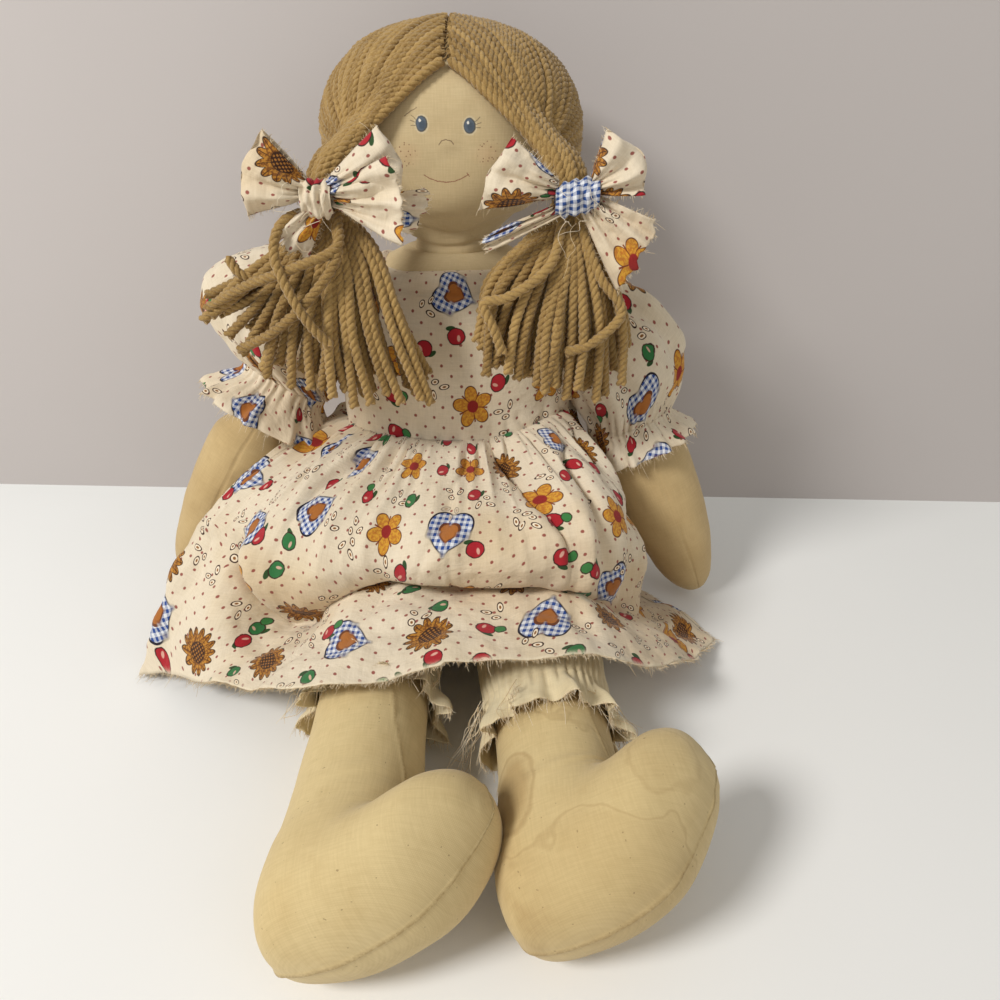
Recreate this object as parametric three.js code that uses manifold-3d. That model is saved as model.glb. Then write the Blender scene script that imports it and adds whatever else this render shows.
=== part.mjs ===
// A rag doll of stuffed muslin, seated on the floor with its legs straight out, in a gathered print
// dress, puffed sleeves and bloomers, with yarn pigtails tied in bows of torn cloth.
// Millimetres, +Z up. The doll faces -Y and its own left is +X. The origin is on the floor, in the
// middle of the flat seat that it rests on.
import * as THREE from 'three';
import { mergeVertices } from 'three/addons/utils/BufferGeometryUtils.js';
import Module from 'manifold-3d';

const wasm = await Module();
wasm.setup();

// Clearances and cloth
const gap = 0.35;
const cloth = 1.4;
const floorFlat = 0.5;
const overrun = 4;
const weld = 1e-4;

// Torso
const torsoHeight = 188;
const hipHalfWidth = 64;
const hipHalfDepth = 44;
const torsoCentreY = 8;
const torsoLean = 12;
const waistHeight = 102;

// Head and neck
const headHeight = 93;
const neckRise = 6;
const neckHalfWidth = 21.5;
const neckRadius = 16.4;
const headHalfWidth = 58;
const headHalfDepth = 41;
const headLean = 14;
const neckCentreY = 20;

// Hair
const hairThickness = 7;
const leadRise = 16;
const hairlineTop = 268;
const hairlineBase = 208;
const hairlineHalfWidth = 50;
const napeHeight = 211;
const partingHalfGap = 0.5;
const stitchRadius = 0.9;
const stitchCount = 9;

// Pigtails, their ties and bows
const tieSpan = 104;
const tieHeight = 221;
const tieForward = 24;
const tieRadius = 9;
const tieWire = 2.2;
const pigtailNeckRadius = 8;
const pigtailLength = 78;
const pigtailHalfDepth = 13;
const pigtailForward = 26;
const pigtailRightSpread = 54;
const pigtailRightDrift = 20;
const pigtailLeftSpread = 40;
const pigtailLeftDrift = 12;
const lockCount = 11;
const lockDepth = 1.3;
const wingLength = 40;
const wingHalfHeight = 22;
const wingPuff = 4.2;
const wingFoldDepth = 1.1;
const knotHalfWidth = 5.5;
const knotRadius = 8.5;
const knotWall = 2.1;
const knotRounding = 1;

// Arms and sleeves
const shoulderSpan = 120;
const shoulderHeight = 172;
const shoulderY = 19;
const armLength = 190;
const armHalfWidth = 18;
const armForwardTilt = 14;
const armRightSplay = 30;
const armLeftSplay = 25;
const sleeveLength = 84;
const sleevePuff = 30;
const sleeveBulge = 8;
const sleeveHalfDepth = 30;
const sleeveRipple = 1;
const ruffleLength = 15;
const ruffleFlare = 6;
const ruffleRipple = 2;
const elasticHeight = 3;
const elasticThickness = 0.8;

// Legs and bloomers
const hipSpan = 70;
const hipY = -38;
const legLength = 204;
const legHalfWidth = 23;
const ankleRise = 50;
const footReach = 58;
const heelBack = 28;
const footHalfThickness = 28;
const footRoll = 62;
const legRightYaw = 1.5;
const legLeftYaw = 5;
const bloomerRightLength = 106;
const bloomerLeftLength = 122;
const bloomerPuff = 3.6;
const frillLength = 18;
const frillRipple = 0.9;

// Skirt, measured on the floor plan from the waist's middle out to the hem
const skirtFrontReach = 154;
const skirtRightReach = 152;
const skirtLeftReach = 134;
const skirtBackReach = 50;
const hemOverLegs = 61;
const skirtBillow = 14;
const foldDepth = 3.2;
const skirtWaistEase = 3.5;

// Bodice and its fastening
const necklineHeight = 173;
const necklineHalfWidth = 36;
const armholeHalfDepth = 20;
const armholeHalfHeight = 24;
const snapRadius = 4;
const snapThickness = 1.6;
const snapSpacing = 34;
const snapRise = 30.6;

const degrees = Math.PI / 180;
const right = { name: 'right', side: -1 };
const left = { name: 'left', side: 1 };

// Colours seen in the photograph
const muslin = { color: 0xd2bb8c, roughness: 0.92, metalness: 0 };
const legMuslin = { color: 0xdcc490, roughness: 0.92, metalness: 0 };
const print = { color: 0xe6d8c2, roughness: 0.9, metalness: 0 };
const bloomerCloth = { color: 0xd9c7a4, roughness: 0.92, metalness: 0 };
const yarn = { color: 0xa98a55, roughness: 0.95, metalness: 0 };
const thread = { color: 0x8a6c3e, roughness: 0.8, metalness: 0 };
const elastic = { color: 0xe8e2d4, roughness: 0.8, metalness: 0 };
const nickel = { color: 0xb9bcc0, roughness: 0.35, metalness: 0.9 };

const doll = new THREE.Group();

// A ring of points on a superellipse round a centre, with half widths a and b along two axes
function ring(centre, axisA, axisB, a, b, count, power = 2, ripple = null) {
  const points = [];
  for (let i = 0; i < count; i += 1) {
    const angle = (i / count) * Math.PI * 2;
    const c = Math.cos(angle);
    const s = Math.sin(angle);
    const grow = ripple ? ripple(angle) : 0;
    const x = Math.sign(c) * Math.abs(c) ** (2 / power) * (a + grow);
    const y = Math.sign(s) * Math.abs(s) ** (2 / power) * (b + grow);
    points.push(centre.clone().addScaledVector(axisA, x).addScaledVector(axisB, y));
  }
  return points;
}

// The mean of a ring's points
function middle(points) {
  const sum = points.reduce((total, point) => total.add(point), new THREE.Vector3());
  return sum.divideScalar(points.length);
}

// A closed solid from points and triangles, turned so that its faces point out
function solid(points, triangles) {
  let geometry = new THREE.BufferGeometry();
  const numbers = points.flatMap((point) => point.toArray());
  geometry.setAttribute('position', new THREE.Float32BufferAttribute(numbers, 3));
  geometry.setIndex(triangles);
  geometry = mergeVertices(geometry, weld);
  const position = geometry.getAttribute('position');
  const index = geometry.getIndex().array;
  const corners = [0, 1, 2].map(() => new THREE.Vector3());
  let volume = 0;
  for (let i = 0; i < index.length; i += 3) {
    corners.forEach((corner, k) => corner.fromBufferAttribute(position, index[i + k]));
    volume += corners[0].dot(corners[1].clone().cross(corners[2]));
  }
  if (volume < 0) {
    for (let i = 0; i < index.length; i += 3) {
      [index[i + 1], index[i + 2]] = [index[i + 2], index[i + 1]];
    }
  }
  return geometry;
}

// The triangles between neighbouring rings; a looped loft joins its last ring to its first
function ringTriangles(ringCount, count, looped) {
  const triangles = [];
  const last = looped ? ringCount : ringCount - 1;
  for (let r = 0; r < last; r += 1) {
    for (let i = 0; i < count; i += 1) {
      const a = r * count + i;
      const b = r * count + ((i + 1) % count);
      const c = ((r + 1) % ringCount) * count + i;
      const d = ((r + 1) % ringCount) * count + ((i + 1) % count);
      triangles.push(a, b, d, a, d, c);
    }
  }
  return triangles;
}

// A loft through rings, closed at both ends by a fan to a middle point or to the tip given
function loft(rings, startTip = middle(rings[0]), endTip = middle(rings[rings.length - 1])) {
  const count = rings[0].length;
  const points = [...rings.flat(), startTip, endTip];
  const triangles = ringTriangles(rings.length, count, false);
  const start = points.length - 2;
  const end = points.length - 1;
  const lastRing = (rings.length - 1) * count;
  for (let i = 0; i < count; i += 1) {
    const next = (i + 1) % count;
    triangles.push(start, next, i, end, lastRing + i, lastRing + next);
  }
  return solid(points, triangles);
}

// An open tube of cloth: outer rings one way and inner rings back again
function tube(outerRings, innerRings) {
  const rings = [...outerRings, ...innerRings.slice().reverse()];
  return solid(rings.flat(), ringTriangles(rings.length, rings[0].length, true));
}

// A sheet of cloth: a grid of points, rows by columns, given a thickness on its under side
function sheet(grid, thickness) {
  const rows = grid.length;
  const columns = grid[0].length;
  const at = (r, c) => grid[Math.max(0, Math.min(rows - 1, r))][Math.max(0, Math.min(columns - 1, c))];
  const under = grid.map((row, r) => row.map((point, c) => {
    const down = at(r + 1, c).clone().sub(at(r - 1, c));
    const across = at(r, c + 1).clone().sub(at(r, c - 1));
    const normal = across.cross(down).normalize();
    return point.clone().addScaledVector(normal, thickness);
  }));
  const points = [...grid.flat(), ...under.flat()];
  const half = rows * columns;
  const triangles = [];
  const quad = (a, b, c, d) => triangles.push(a, b, c, a, c, d);
  for (let r = 0; r < rows - 1; r += 1) {
    for (let c = 0; c < columns - 1; c += 1) {
      const a = r * columns + c;
      quad(a, a + 1, a + columns + 1, a + columns);
      quad(half + a, half + a + columns, half + a + columns + 1, half + a + 1);
    }
    const first = r * columns;
    const last = first + columns - 1;
    quad(first, first + columns, half + first + columns, half + first);
    quad(last, half + last, half + last + columns, last + columns);
  }
  for (let c = 0; c < columns - 1; c += 1) {
    const bottom = (rows - 1) * columns + c;
    quad(c, half + c, half + c + 1, c + 1);
    quad(bottom, bottom + 1, half + bottom + 1, half + bottom);
  }
  return solid(points, triangles);
}

// Joining and cutting
function toManifold(geometry) {
  const bare = geometry.clone();
  bare.deleteAttribute('normal');
  bare.deleteAttribute('uv');
  const merged = mergeVertices(bare, weld);
  return new wasm.Manifold(new wasm.Mesh({
    numProp: 3,
    vertProperties: new Float32Array(merged.getAttribute('position').array),
    triVerts: new Uint32Array(merged.getIndex().array),
  }));
}

function fromManifold(manifold) {
  const mesh = manifold.getMesh();
  const geometry = new THREE.BufferGeometry();
  geometry.setAttribute('position', new THREE.BufferAttribute(mesh.vertProperties, 3));
  geometry.setIndex(new THREE.BufferAttribute(mesh.triVerts, 1));
  return geometry;
}

function boxBetween(low, high) {
  const geometry = new THREE.BoxGeometry(high[0] - low[0], high[1] - low[1], high[2] - low[2]);
  geometry.translate((low[0] + high[0]) / 2, (low[1] + high[1]) / 2, (low[2] + high[2]) / 2);
  return toManifold(geometry);
}

// A named mesh with its own material, added to a group
function addMesh(parent, name, geometry, look) {
  const shaded = geometry.getIndex() ? geometry.toNonIndexed() : geometry;
  shaded.computeVertexNormals();
  const mesh = new THREE.Mesh(shaded, new THREE.MeshStandardMaterial(look));
  mesh.name = name;
  parent.add(mesh);
  return mesh;
}

const xAxis = new THREE.Vector3(1, 0, 0);
const yAxis = new THREE.Vector3(0, 1, 0);
const zAxis = new THREE.Vector3(0, 0, 1);

// Torso: shares of its height, half width, half depth and lean, from the seat to the neck roll
const torsoShares = [
  [0, 0.62, 0.6, 0],
  [0.03, 0.84, 0.82, 0],
  [0.1, 0.97, 0.96, 0.02],
  [0.24, 1, 1, 0.08],
  [0.42, 0.93, 0.9, 0.2],
  [0.54, 0.9, 0.84, 0.32],
  [0.7, 0.93, 0.83, 0.55],
  [0.83, 0.93, 0.77, 0.75],
  [0.9, 0.86, 0.69, 0.86],
  [0.955, 0.68, 0.56, 0.94],
  [1, 0.4, 0.44, 1],
];
const torsoPower = 2.3;
const torsoSegments = 26;
const torsoBase = cloth + gap;

function torsoLoft(offset, drop = offset) {
  const rings = torsoShares.map(([up, wide, deep, lean], i) => {
    const z = i === 0 ? torsoBase - drop : torsoBase + (torsoHeight - torsoBase) * up;
    const top = i === torsoShares.length - 1 ? offset : 0;
    const centre = new THREE.Vector3(0, torsoCentreY + torsoLean * lean, z + top);
    const a = hipHalfWidth * wide + offset;
    const b = hipHalfDepth * deep + offset;
    return ring(centre, xAxis, yAxis, a, b, torsoSegments, torsoPower);
  });
  return toManifold(loft(rings));
}

const bloomerRadius = legHalfWidth + gap + bloomerPuff + cloth;
const hipHeight = bloomerRadius - floorFlat;

// The space that one leg and its bloomer leg sweep between sitting and standing
function legSweep(side) {
  const radius = bloomerRadius + gap * 2;
  const inner = hipSpan / 2 - bloomerRadius - gap;
  const outer = hipSpan / 2 + bloomerRadius + hipHalfWidth;
  const round = new THREE.CylinderGeometry(radius, radius, outer - inner, 40);
  round.rotateZ(Math.PI / 2);
  round.translate(side * (inner + outer) / 2, hipY, hipHeight);
  const low = [Math.min(side * inner, side * outer), hipY - hipHalfDepth, -bloomerRadius];
  const high = [Math.max(side * inner, side * outer), hipY + radius, hipHeight];
  return toManifold(round).add(boxBetween(low, high));
}

const legSweeps = legSweep(right.side).add(legSweep(left.side));

// The soft neck ends in a round foot that tips in a hollow on top of the torso
const neckBase = torsoHeight + neckRise;

function neckFoot(offset) {
  const foot = new THREE.SphereGeometry(1, 18, 12);
  foot.rotateZ(Math.PI / 2);
  foot.scale(neckHalfWidth + offset, neckRadius + offset, neckRadius + offset);
  foot.translate(0, neckCentreY, neckBase);
  return toManifold(foot);
}

const torso = torsoLoft(0).subtract(legSweeps).subtract(neckFoot(gap));
addMesh(doll, 'torso', fromManifold(torso), muslin);

// Bloomers seat: a cup of cloth round the torso, flat where the doll sits on it
const seatOuter = gap + cloth;
const bloomersTop = waistHeight - elasticHeight * 3;
const belowBloomersTop = boxBetween(
  [-hipHalfWidth * 2, -hipHalfWidth * 2, -overrun],
  [hipHalfWidth * 2, hipHalfWidth * 2, bloomersTop],
);
const bloomersSeat = torsoLoft(seatOuter)
  .subtract(torsoLoft(gap))
  .subtract(legSweeps)
  .intersect(belowBloomersTop);
addMesh(doll, 'bloomers_seat', fromManifold(bloomersSeat), bloomerCloth);

// Waist elastic: a band round the torso just above the cloth that it draws in
const waistBand = torsoLoft(gap + elasticThickness)
  .subtract(torsoLoft(gap))
  .intersect(boxBetween(
    [-hipHalfWidth * 2, -hipHalfWidth * 2, bloomersTop + gap],
    [hipHalfWidth * 2, hipHalfWidth * 2, bloomersTop + gap + elasticHeight],
  ));
addMesh(doll, 'bloomers_waist_elastic', fromManifold(waistBand), elastic);

// Bodice: a shell of cloth outside the torso, with a straight neckline and round armholes
const bodiceInner = gap;
const bodiceOuter = bodiceInner + cloth;
const bodiceBottom = bloomersTop + elasticHeight + gap * 2;
const neckOpening = boxBetween(
  [-necklineHalfWidth, -hipHalfDepth * 2, necklineHeight],
  [necklineHalfWidth, hipHalfDepth * 2, torsoHeight + headHeight],
);
const armhole = new THREE.CylinderGeometry(1, 1, shoulderSpan * 2, 28);
armhole.rotateZ(Math.PI / 2);
armhole.scale(1, armholeHalfDepth, armholeHalfHeight);
armhole.translate(0, shoulderY, shoulderHeight + overrun - armholeHalfHeight);
const bodiceShell = torsoLoft(bodiceOuter)
  .subtract(torsoLoft(bodiceInner))
  .subtract(neckOpening)
  .subtract(toManifold(armhole))
  .intersect(boxBetween(
    [-hipHalfWidth * 2, -hipHalfWidth * 2, bodiceBottom],
    [hipHalfWidth * 2, hipHalfWidth * 2, torsoHeight * 2],
  ));
const sideSeamY = torsoCentreY + torsoLean / 2;
const wide = hipHalfWidth * 2;
const high = torsoHeight * 2;
const frontHalf = boxBetween([-wide, -wide, 0], [wide, sideSeamY - gap / 2, high]);
const backRightHalf = boxBetween([-wide, sideSeamY + gap / 2, 0], [-gap / 2, wide, high]);
const backLeftHalf = boxBetween([gap / 2, sideSeamY + gap / 2, 0], [wide, wide, high]);
addMesh(doll, 'bodice_front', fromManifold(bodiceShell.intersect(frontHalf)), print);
addMesh(doll, 'bodice_back_right', fromManifold(bodiceShell.intersect(backRightHalf)), print);
addMesh(doll, 'bodice_back_left', fromManifold(bodiceShell.intersect(backLeftHalf)), print);

// Half width and half depth of the torso at a height, between its stations
function torsoAt(z) {
  const up = (z - torsoBase) / (torsoHeight - torsoBase);
  const above = torsoShares.findIndex((share) => share[0] >= up);
  const [low, top] = [torsoShares[above - 1], torsoShares[above]];
  const part = (up - low[0]) / (top[0] - low[0]);
  const mix = (k) => low[k] + (top[k] - low[k]) * part;
  return { a: hipHalfWidth * mix(1), b: hipHalfDepth * mix(2), y: torsoCentreY + torsoLean * mix(3) };
}

// Snaps on the centre of the back
const snapDomeShare = 0.8;
['upper', 'lower'].forEach((name, i) => {
  const z = bodiceBottom + snapRise + snapSpacing * (1 - i);
  const back = torsoAt(z);
  const snap = new THREE.CylinderGeometry(snapRadius * snapDomeShare, snapRadius, snapThickness, 20);
  const mesh = addMesh(doll, `back_snap_${name}`, snap, nickel);
  mesh.position.set(0, back.y + back.b + bodiceOuter + gap * 2 + snapThickness / 2, z);
});

// Skirt: rows from the gathered waist out and down to the hem. The plan of the hem is a closed
// curve, wide at the front corners, and its height follows the legs that it lies on.
const waist = torsoAt(waistHeight);
const skirtRowShares = [
  [0, 0, 1],
  [0.06, 0.2, 0.99],
  [0.2, 0.6, 0.94],
  [0.36, 0.85, 0.86],
  [0.5, 1, 0.7],
  [0.575, 1, 0.48],
  [0.6, 0.75, 0.26],
  [0.635, 0.35, 0.1],
  [0.74, 0.05, 0.03],
  [1, 0, 0],
];
const skirtFoldCount = 15;
const sideBillowShare = 0.15;
const sideDrop = 3.5;
const sideDropReach = Math.PI * 0.18;
const sideHugShare = 0.3;
const sideSeamAngle = Math.PI / 2;

// The hem's plan at every eighth of a half turn from straight ahead: shares of the side reach, of
// the front or back reach, and of the height over the legs. It lies higher and further forward over
// the doll's right leg.
const hemRightShares = [
  [0, -1.03, 1],
  [0.36, -1.09, 1],
  [0.66, -0.98, 0.42],
  [0.9, -0.83, 0.12],
  [1, -0.66, 0],
  [0.72, -0.3, 0],
  [0.56, 0.12, 0],
  [0.34, 0.9, 0],
  [0, 1, 0],
];
const hemLeftShares = [
  [0, -1.03, 1],
  [0.42, -1, 1],
  [0.72, -0.88, 0.62],
  [0.93, -0.66, 0.2],
  [1, -0.46, 0],
  [0.66, -0.1, 0],
  [0.56, 0.25, 0],
  [0.36, 0.9, 0],
  [0, 1, 0],
];

function hemCurve(shares, sideReach, side) {
  return new THREE.CatmullRomCurve3(shares.map(([across, along, rise]) => new THREE.Vector3(
    side * sideReach * across,
    waist.y + along * (along < 0 ? skirtFrontReach : skirtBackReach),
    cloth + gap + (hemOverLegs - cloth - gap) * rise,
  )));
}

const hemRight = hemCurve(hemRightShares, skirtRightReach, right.side);
const hemLeft = hemCurve(hemLeftShares, skirtLeftReach, left.side);

// The hem at an angle counted from straight ahead, positive to the doll's left
function hemPoint(angle) {
  const turned = angle > Math.PI ? angle - Math.PI * 2 : angle;
  const point = (turned < 0 ? hemRight : hemLeft).getPoint(Math.abs(turned) / Math.PI);
  point.z = Math.max(point.z, cloth + gap);
  return point;
}

function skirtGrid(from, to, columns) {
  return skirtRowShares.map(([out, billow, up]) => {
    const row = [];
    for (let c = 0; c <= columns; c += 1) {
      const angle = THREE.MathUtils.lerp(from, to, c / columns);
      const hem = hemPoint(angle);
      const across = Math.sin(angle);
      const ahead = Math.cos(angle);
      const start = new THREE.Vector3(
        Math.sign(across) * Math.abs(across) ** (2 / torsoPower) * (waist.a + skirtWaistEase),
        waist.y - Math.sign(ahead) * Math.abs(ahead) ** (2 / torsoPower) * (waist.b + skirtWaistEase),
        waistHeight,
      );
      const outward = new THREE.Vector3(across, -ahead, 0);
      const fold = foldDepth * Math.cos(angle * skirtFoldCount) * Math.min(1, out * 4);
      const settle = 1 - out ** 4;
      const turned = Math.min(Math.abs(angle), Math.PI * 2 - angle);
      const fromSide = Math.abs(turned - sideSeamAngle);
      const full = THREE.MathUtils.smoothstep(fromSide, sideDropReach / 2, sideDropReach * 1.5);
      const fullness = ahead > 0 ? THREE.MathUtils.lerp(sideBillowShare, 1, full) : sideBillowShare;
      const drop = sideDrop * (1 - THREE.MathUtils.smoothstep(fromSide, 0, sideDropReach));
      const point = start.clone().lerp(hem, out ** (1 + drop * sideHugShare));
      point.z = THREE.MathUtils.lerp(hem.z, waistHeight, up ** (1 + drop));
      point.addScaledVector(outward, skirtBillow * billow * fullness + fold * settle);
      point.z = Math.max(point.z + fold * settle * (1 - up), cloth + gap);
      row.push(point);
    }
    return row;
  });
}

const seamShare = 0.004;
const frontColumns = 38;
const backColumns = 26;
const frontEdge = sideSeamAngle * (1 - seamShare);
const backEdge = sideSeamAngle * (1 + seamShare);
const skirtFront = skirtGrid(-frontEdge, frontEdge, frontColumns);
const skirtBack = skirtGrid(backEdge, Math.PI * 2 - backEdge, backColumns);
addMesh(doll, 'skirt_front', sheet(skirtFront, cloth), print);
addMesh(doll, 'skirt_back', sheet(skirtBack, cloth), print);

// Head and neck: shares of height, half width, half depth and lean
const headShares = [
  [0, 0.37, 0.4, 0],
  [0.08, 0.47, 0.56, 0.16],
  [0.19, 0.76, 0.81, 0.3],
  [0.34, 0.95, 0.96, 0.45],
  [0.52, 1, 1, 0.62],
  [0.69, 0.95, 0.96, 0.76],
  [0.82, 0.8, 0.82, 0.88],
  [0.92, 0.58, 0.6, 0.95],
  [0.98, 0.27, 0.3, 1],
];
const headSegments = 30;
function headLoft(offset) {
  const rings = headShares.map(([up, wideShare, deepShare, lean]) => {
    const centre = new THREE.Vector3(0, neckCentreY + headLean * lean, neckBase + headHeight * up);
    const a = headHalfWidth * wideShare + offset;
    const b = headHalfDepth * deepShare + offset;
    const grown = centre.clone().addScaledVector(zAxis, offset * up);
    return ring(grown, xAxis, yAxis, a, b, headSegments, 2.1);
  });
  const foot = new THREE.Vector3(0, neckCentreY, neckBase);
  const crown = new THREE.Vector3(0, neckCentreY + headLean, neckBase + headHeight + offset);
  return toManifold(loft(rings, foot, crown));
}

const head = new THREE.Group();
doll.add(head);
addMesh(head, 'head', fromManifold(headLoft(0).add(neckFoot(0))), muslin);

// Hair: a cap over the head with the face left open below a hairline like a steep tent
const hairInner = gap;
const hairOuter = gap + hairThickness;
const headMiddleY = neckCentreY + headLean * 0.6;
const faceOutline = new THREE.Shape();
faceOutline.moveTo(0, hairlineTop);
faceOutline.quadraticCurveTo(hairlineHalfWidth * 0.72, (hairlineTop + hairlineBase) / 2,
  hairlineHalfWidth, hairlineBase);
faceOutline.lineTo(hairlineHalfWidth, neckBase - overrun);
faceOutline.lineTo(-hairlineHalfWidth, neckBase - overrun);
faceOutline.lineTo(-hairlineHalfWidth, hairlineBase);
faceOutline.quadraticCurveTo(-hairlineHalfWidth * 0.72, (hairlineTop + hairlineBase) / 2,
  0, hairlineTop);
const faceCut = new THREE.ExtrudeGeometry(faceOutline, {
  depth: headHalfDepth * 2 + hairThickness * 2, bevelEnabled: false, curveSegments: 8,
});
faceCut.rotateX(Math.PI / 2);
faceCut.translate(0, headMiddleY, 0);
const wholeHair = headLoft(hairOuter)
  .subtract(toManifold(faceCut))
  .intersect(boxBetween([-wide, -wide, napeHeight], [wide, wide, high]));

// The yarn of one side, drawn together from the temple to its tie
function hairLead(side) {
  const tieTop = tieHeight + tieWire + gap;
  const end = new THREE.Vector3(side * tieSpan / 2, -tieForward, tieTop);
  const start = new THREE.Vector3(side * headHalfWidth * 0.84, headMiddleY - headHalfDepth * 0.3,
    tieTop + leadRise);
  return toManifold(loft(leadShares.map(([along, size, lift]) => {
    const centre = start.clone().lerp(end, along).addScaledVector(zAxis, leadRise * lift);
    const tall = zAxis.clone().multiplyScalar(1 - along).addScaledVector(yAxis, -along).normalize();
    return ring(centre, xAxis, tall, tieRadius * size, tieRadius * size, 16);
  })));
}

const leadShares = [
  [0, 1.5, 0],
  [0.35, 1.35, 0.16],
  [0.7, 1.1, 0.14],
  [0.9, 0.95, 0.05],
  [1, 0.86, 0],
];
[right, left].forEach(({ name, side }) => {
  const low = side < 0 ? -wide : partingHalfGap;
  const top = side < 0 ? -partingHalfGap : wide;
  const half = wholeHair
    .intersect(boxBetween([low, -wide, 0], [top, wide, high]))
    .add(hairLead(side))
    .subtract(headLoft(hairInner));
  addMesh(head, `hair_${name}`, fromManifold(half), yarn);
});

// Parting stitches: one thread that runs over the parting in a row of small humps. It follows the
// hair's own profile in the middle plane, from the forehead over the crown to the back.
function partingPoint([up, , deepShare, lean], side) {
  const reach = headHalfDepth * deepShare + hairOuter;
  const y = neckCentreY + headLean * lean + side * reach;
  return new THREE.Vector3(0, y, neckBase + (headHeight + hairOuter) * up);
}
const crownTop = new THREE.Vector3(0, neckCentreY + headLean, neckBase + headHeight + hairOuter);
const frontRows = headShares.slice(-3).map((row) => partingPoint(row, -1));
const backRows = headShares.slice(-4).reverse().map((row) => partingPoint(row, 1));
const partingLine = new THREE.CatmullRomCurve3([...frontRows, crownTop, ...backRows]);
const headCentre = new THREE.Vector3(0, headMiddleY, neckBase + headHeight / 2);
const stitchPoints = partingLine.getSpacedPoints(stitchCount * 2).map((point, i) => {
  const hump = gap + stitchRadius + (i % 2) * stitchRadius;
  const outward = point.clone().sub(headCentre).normalize();
  return point.addScaledVector(outward, hump);
});
const stitchCurve = new THREE.CatmullRomCurve3(stitchPoints);
const stitchSection = new THREE.Shape();
stitchSection.absarc(0, 0, stitchRadius, 0, Math.PI * 2, false);
const stitchGeometry = new THREE.ExtrudeGeometry(stitchSection, {
  steps: stitchCount * 2, extrudePath: stitchCurve, bevelEnabled: false, curveSegments: 5,
});
addMesh(head, 'parting_stitching', stitchGeometry, thread);

// Pigtails: bundles of yarn locks, narrow at the tie and fanned at the cut ends. The tie and the bow
// stay with the head, and the loose yarn hangs below them.
const pigtailShares = [
  [0.12, 0.24, 0.74, 0.06, 0.1],
  [0.28, 0.42, 0.9, 0.2, 0.28],
  [0.48, 0.64, 1, 0.42, 0.5],
  [0.7, 0.84, 1, 0.68, 0.74],
  [0.9, 0.98, 0.96, 0.92, 0.93],
  [1, 0.9, 0.8, 1, 1],
];
[
  { ...right, spread: pigtailRightSpread, drift: -pigtailRightDrift },
  { ...left, spread: pigtailLeftSpread, drift: -pigtailLeftDrift },
].forEach(({ name, side, spread, drift }) => {
  const rings = pigtailShares.map(([down, wideShare, deepShare, driftShare, forwardShare]) => {
    const centre = new THREE.Vector3(
      drift * driftShare,
      -pigtailForward * forwardShare,
      -pigtailLength * down,
    );
    const ripple = (angle) => lockDepth * Math.cos(angle * lockCount) * Math.min(1, down * 3);
    return ring(centre, xAxis, yAxis, spread * wideShare, pigtailHalfDepth * deepShare,
      lockCount * 4, 2.2, ripple);
  });
  const neck = [0.85, 0.5, 0].map((up) => ring(
    new THREE.Vector3(0, 0, pigtailNeckRadius * up), xAxis, yAxis,
    pigtailNeckRadius * Math.sqrt(1 - up ** 2), pigtailNeckRadius * Math.sqrt(1 - up ** 2), lockCount * 4,
  ));
  const crown = new THREE.Vector3(0, 0, pigtailNeckRadius);
  const pigtail = new THREE.Group();
  pigtail.position.set(side * tieSpan / 2, -tieForward, tieHeight - tieWire - gap - pigtailNeckRadius);
  doll.add(pigtail);
  addMesh(pigtail, `pigtail_${name}`, loft([...neck, ...rings], crown), yarn);

  const tieGroup = new THREE.Group();
  tieGroup.position.set(side * tieSpan / 2, -tieForward, tieHeight);
  head.add(tieGroup);
  const tie = new THREE.CylinderGeometry(tieRadius, tieRadius, tieWire * 2, 28);
  tie.rotateX(Math.PI / 2);
  addMesh(tieGroup, `pigtail_tie_${name}`, tie, thread);
});

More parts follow.
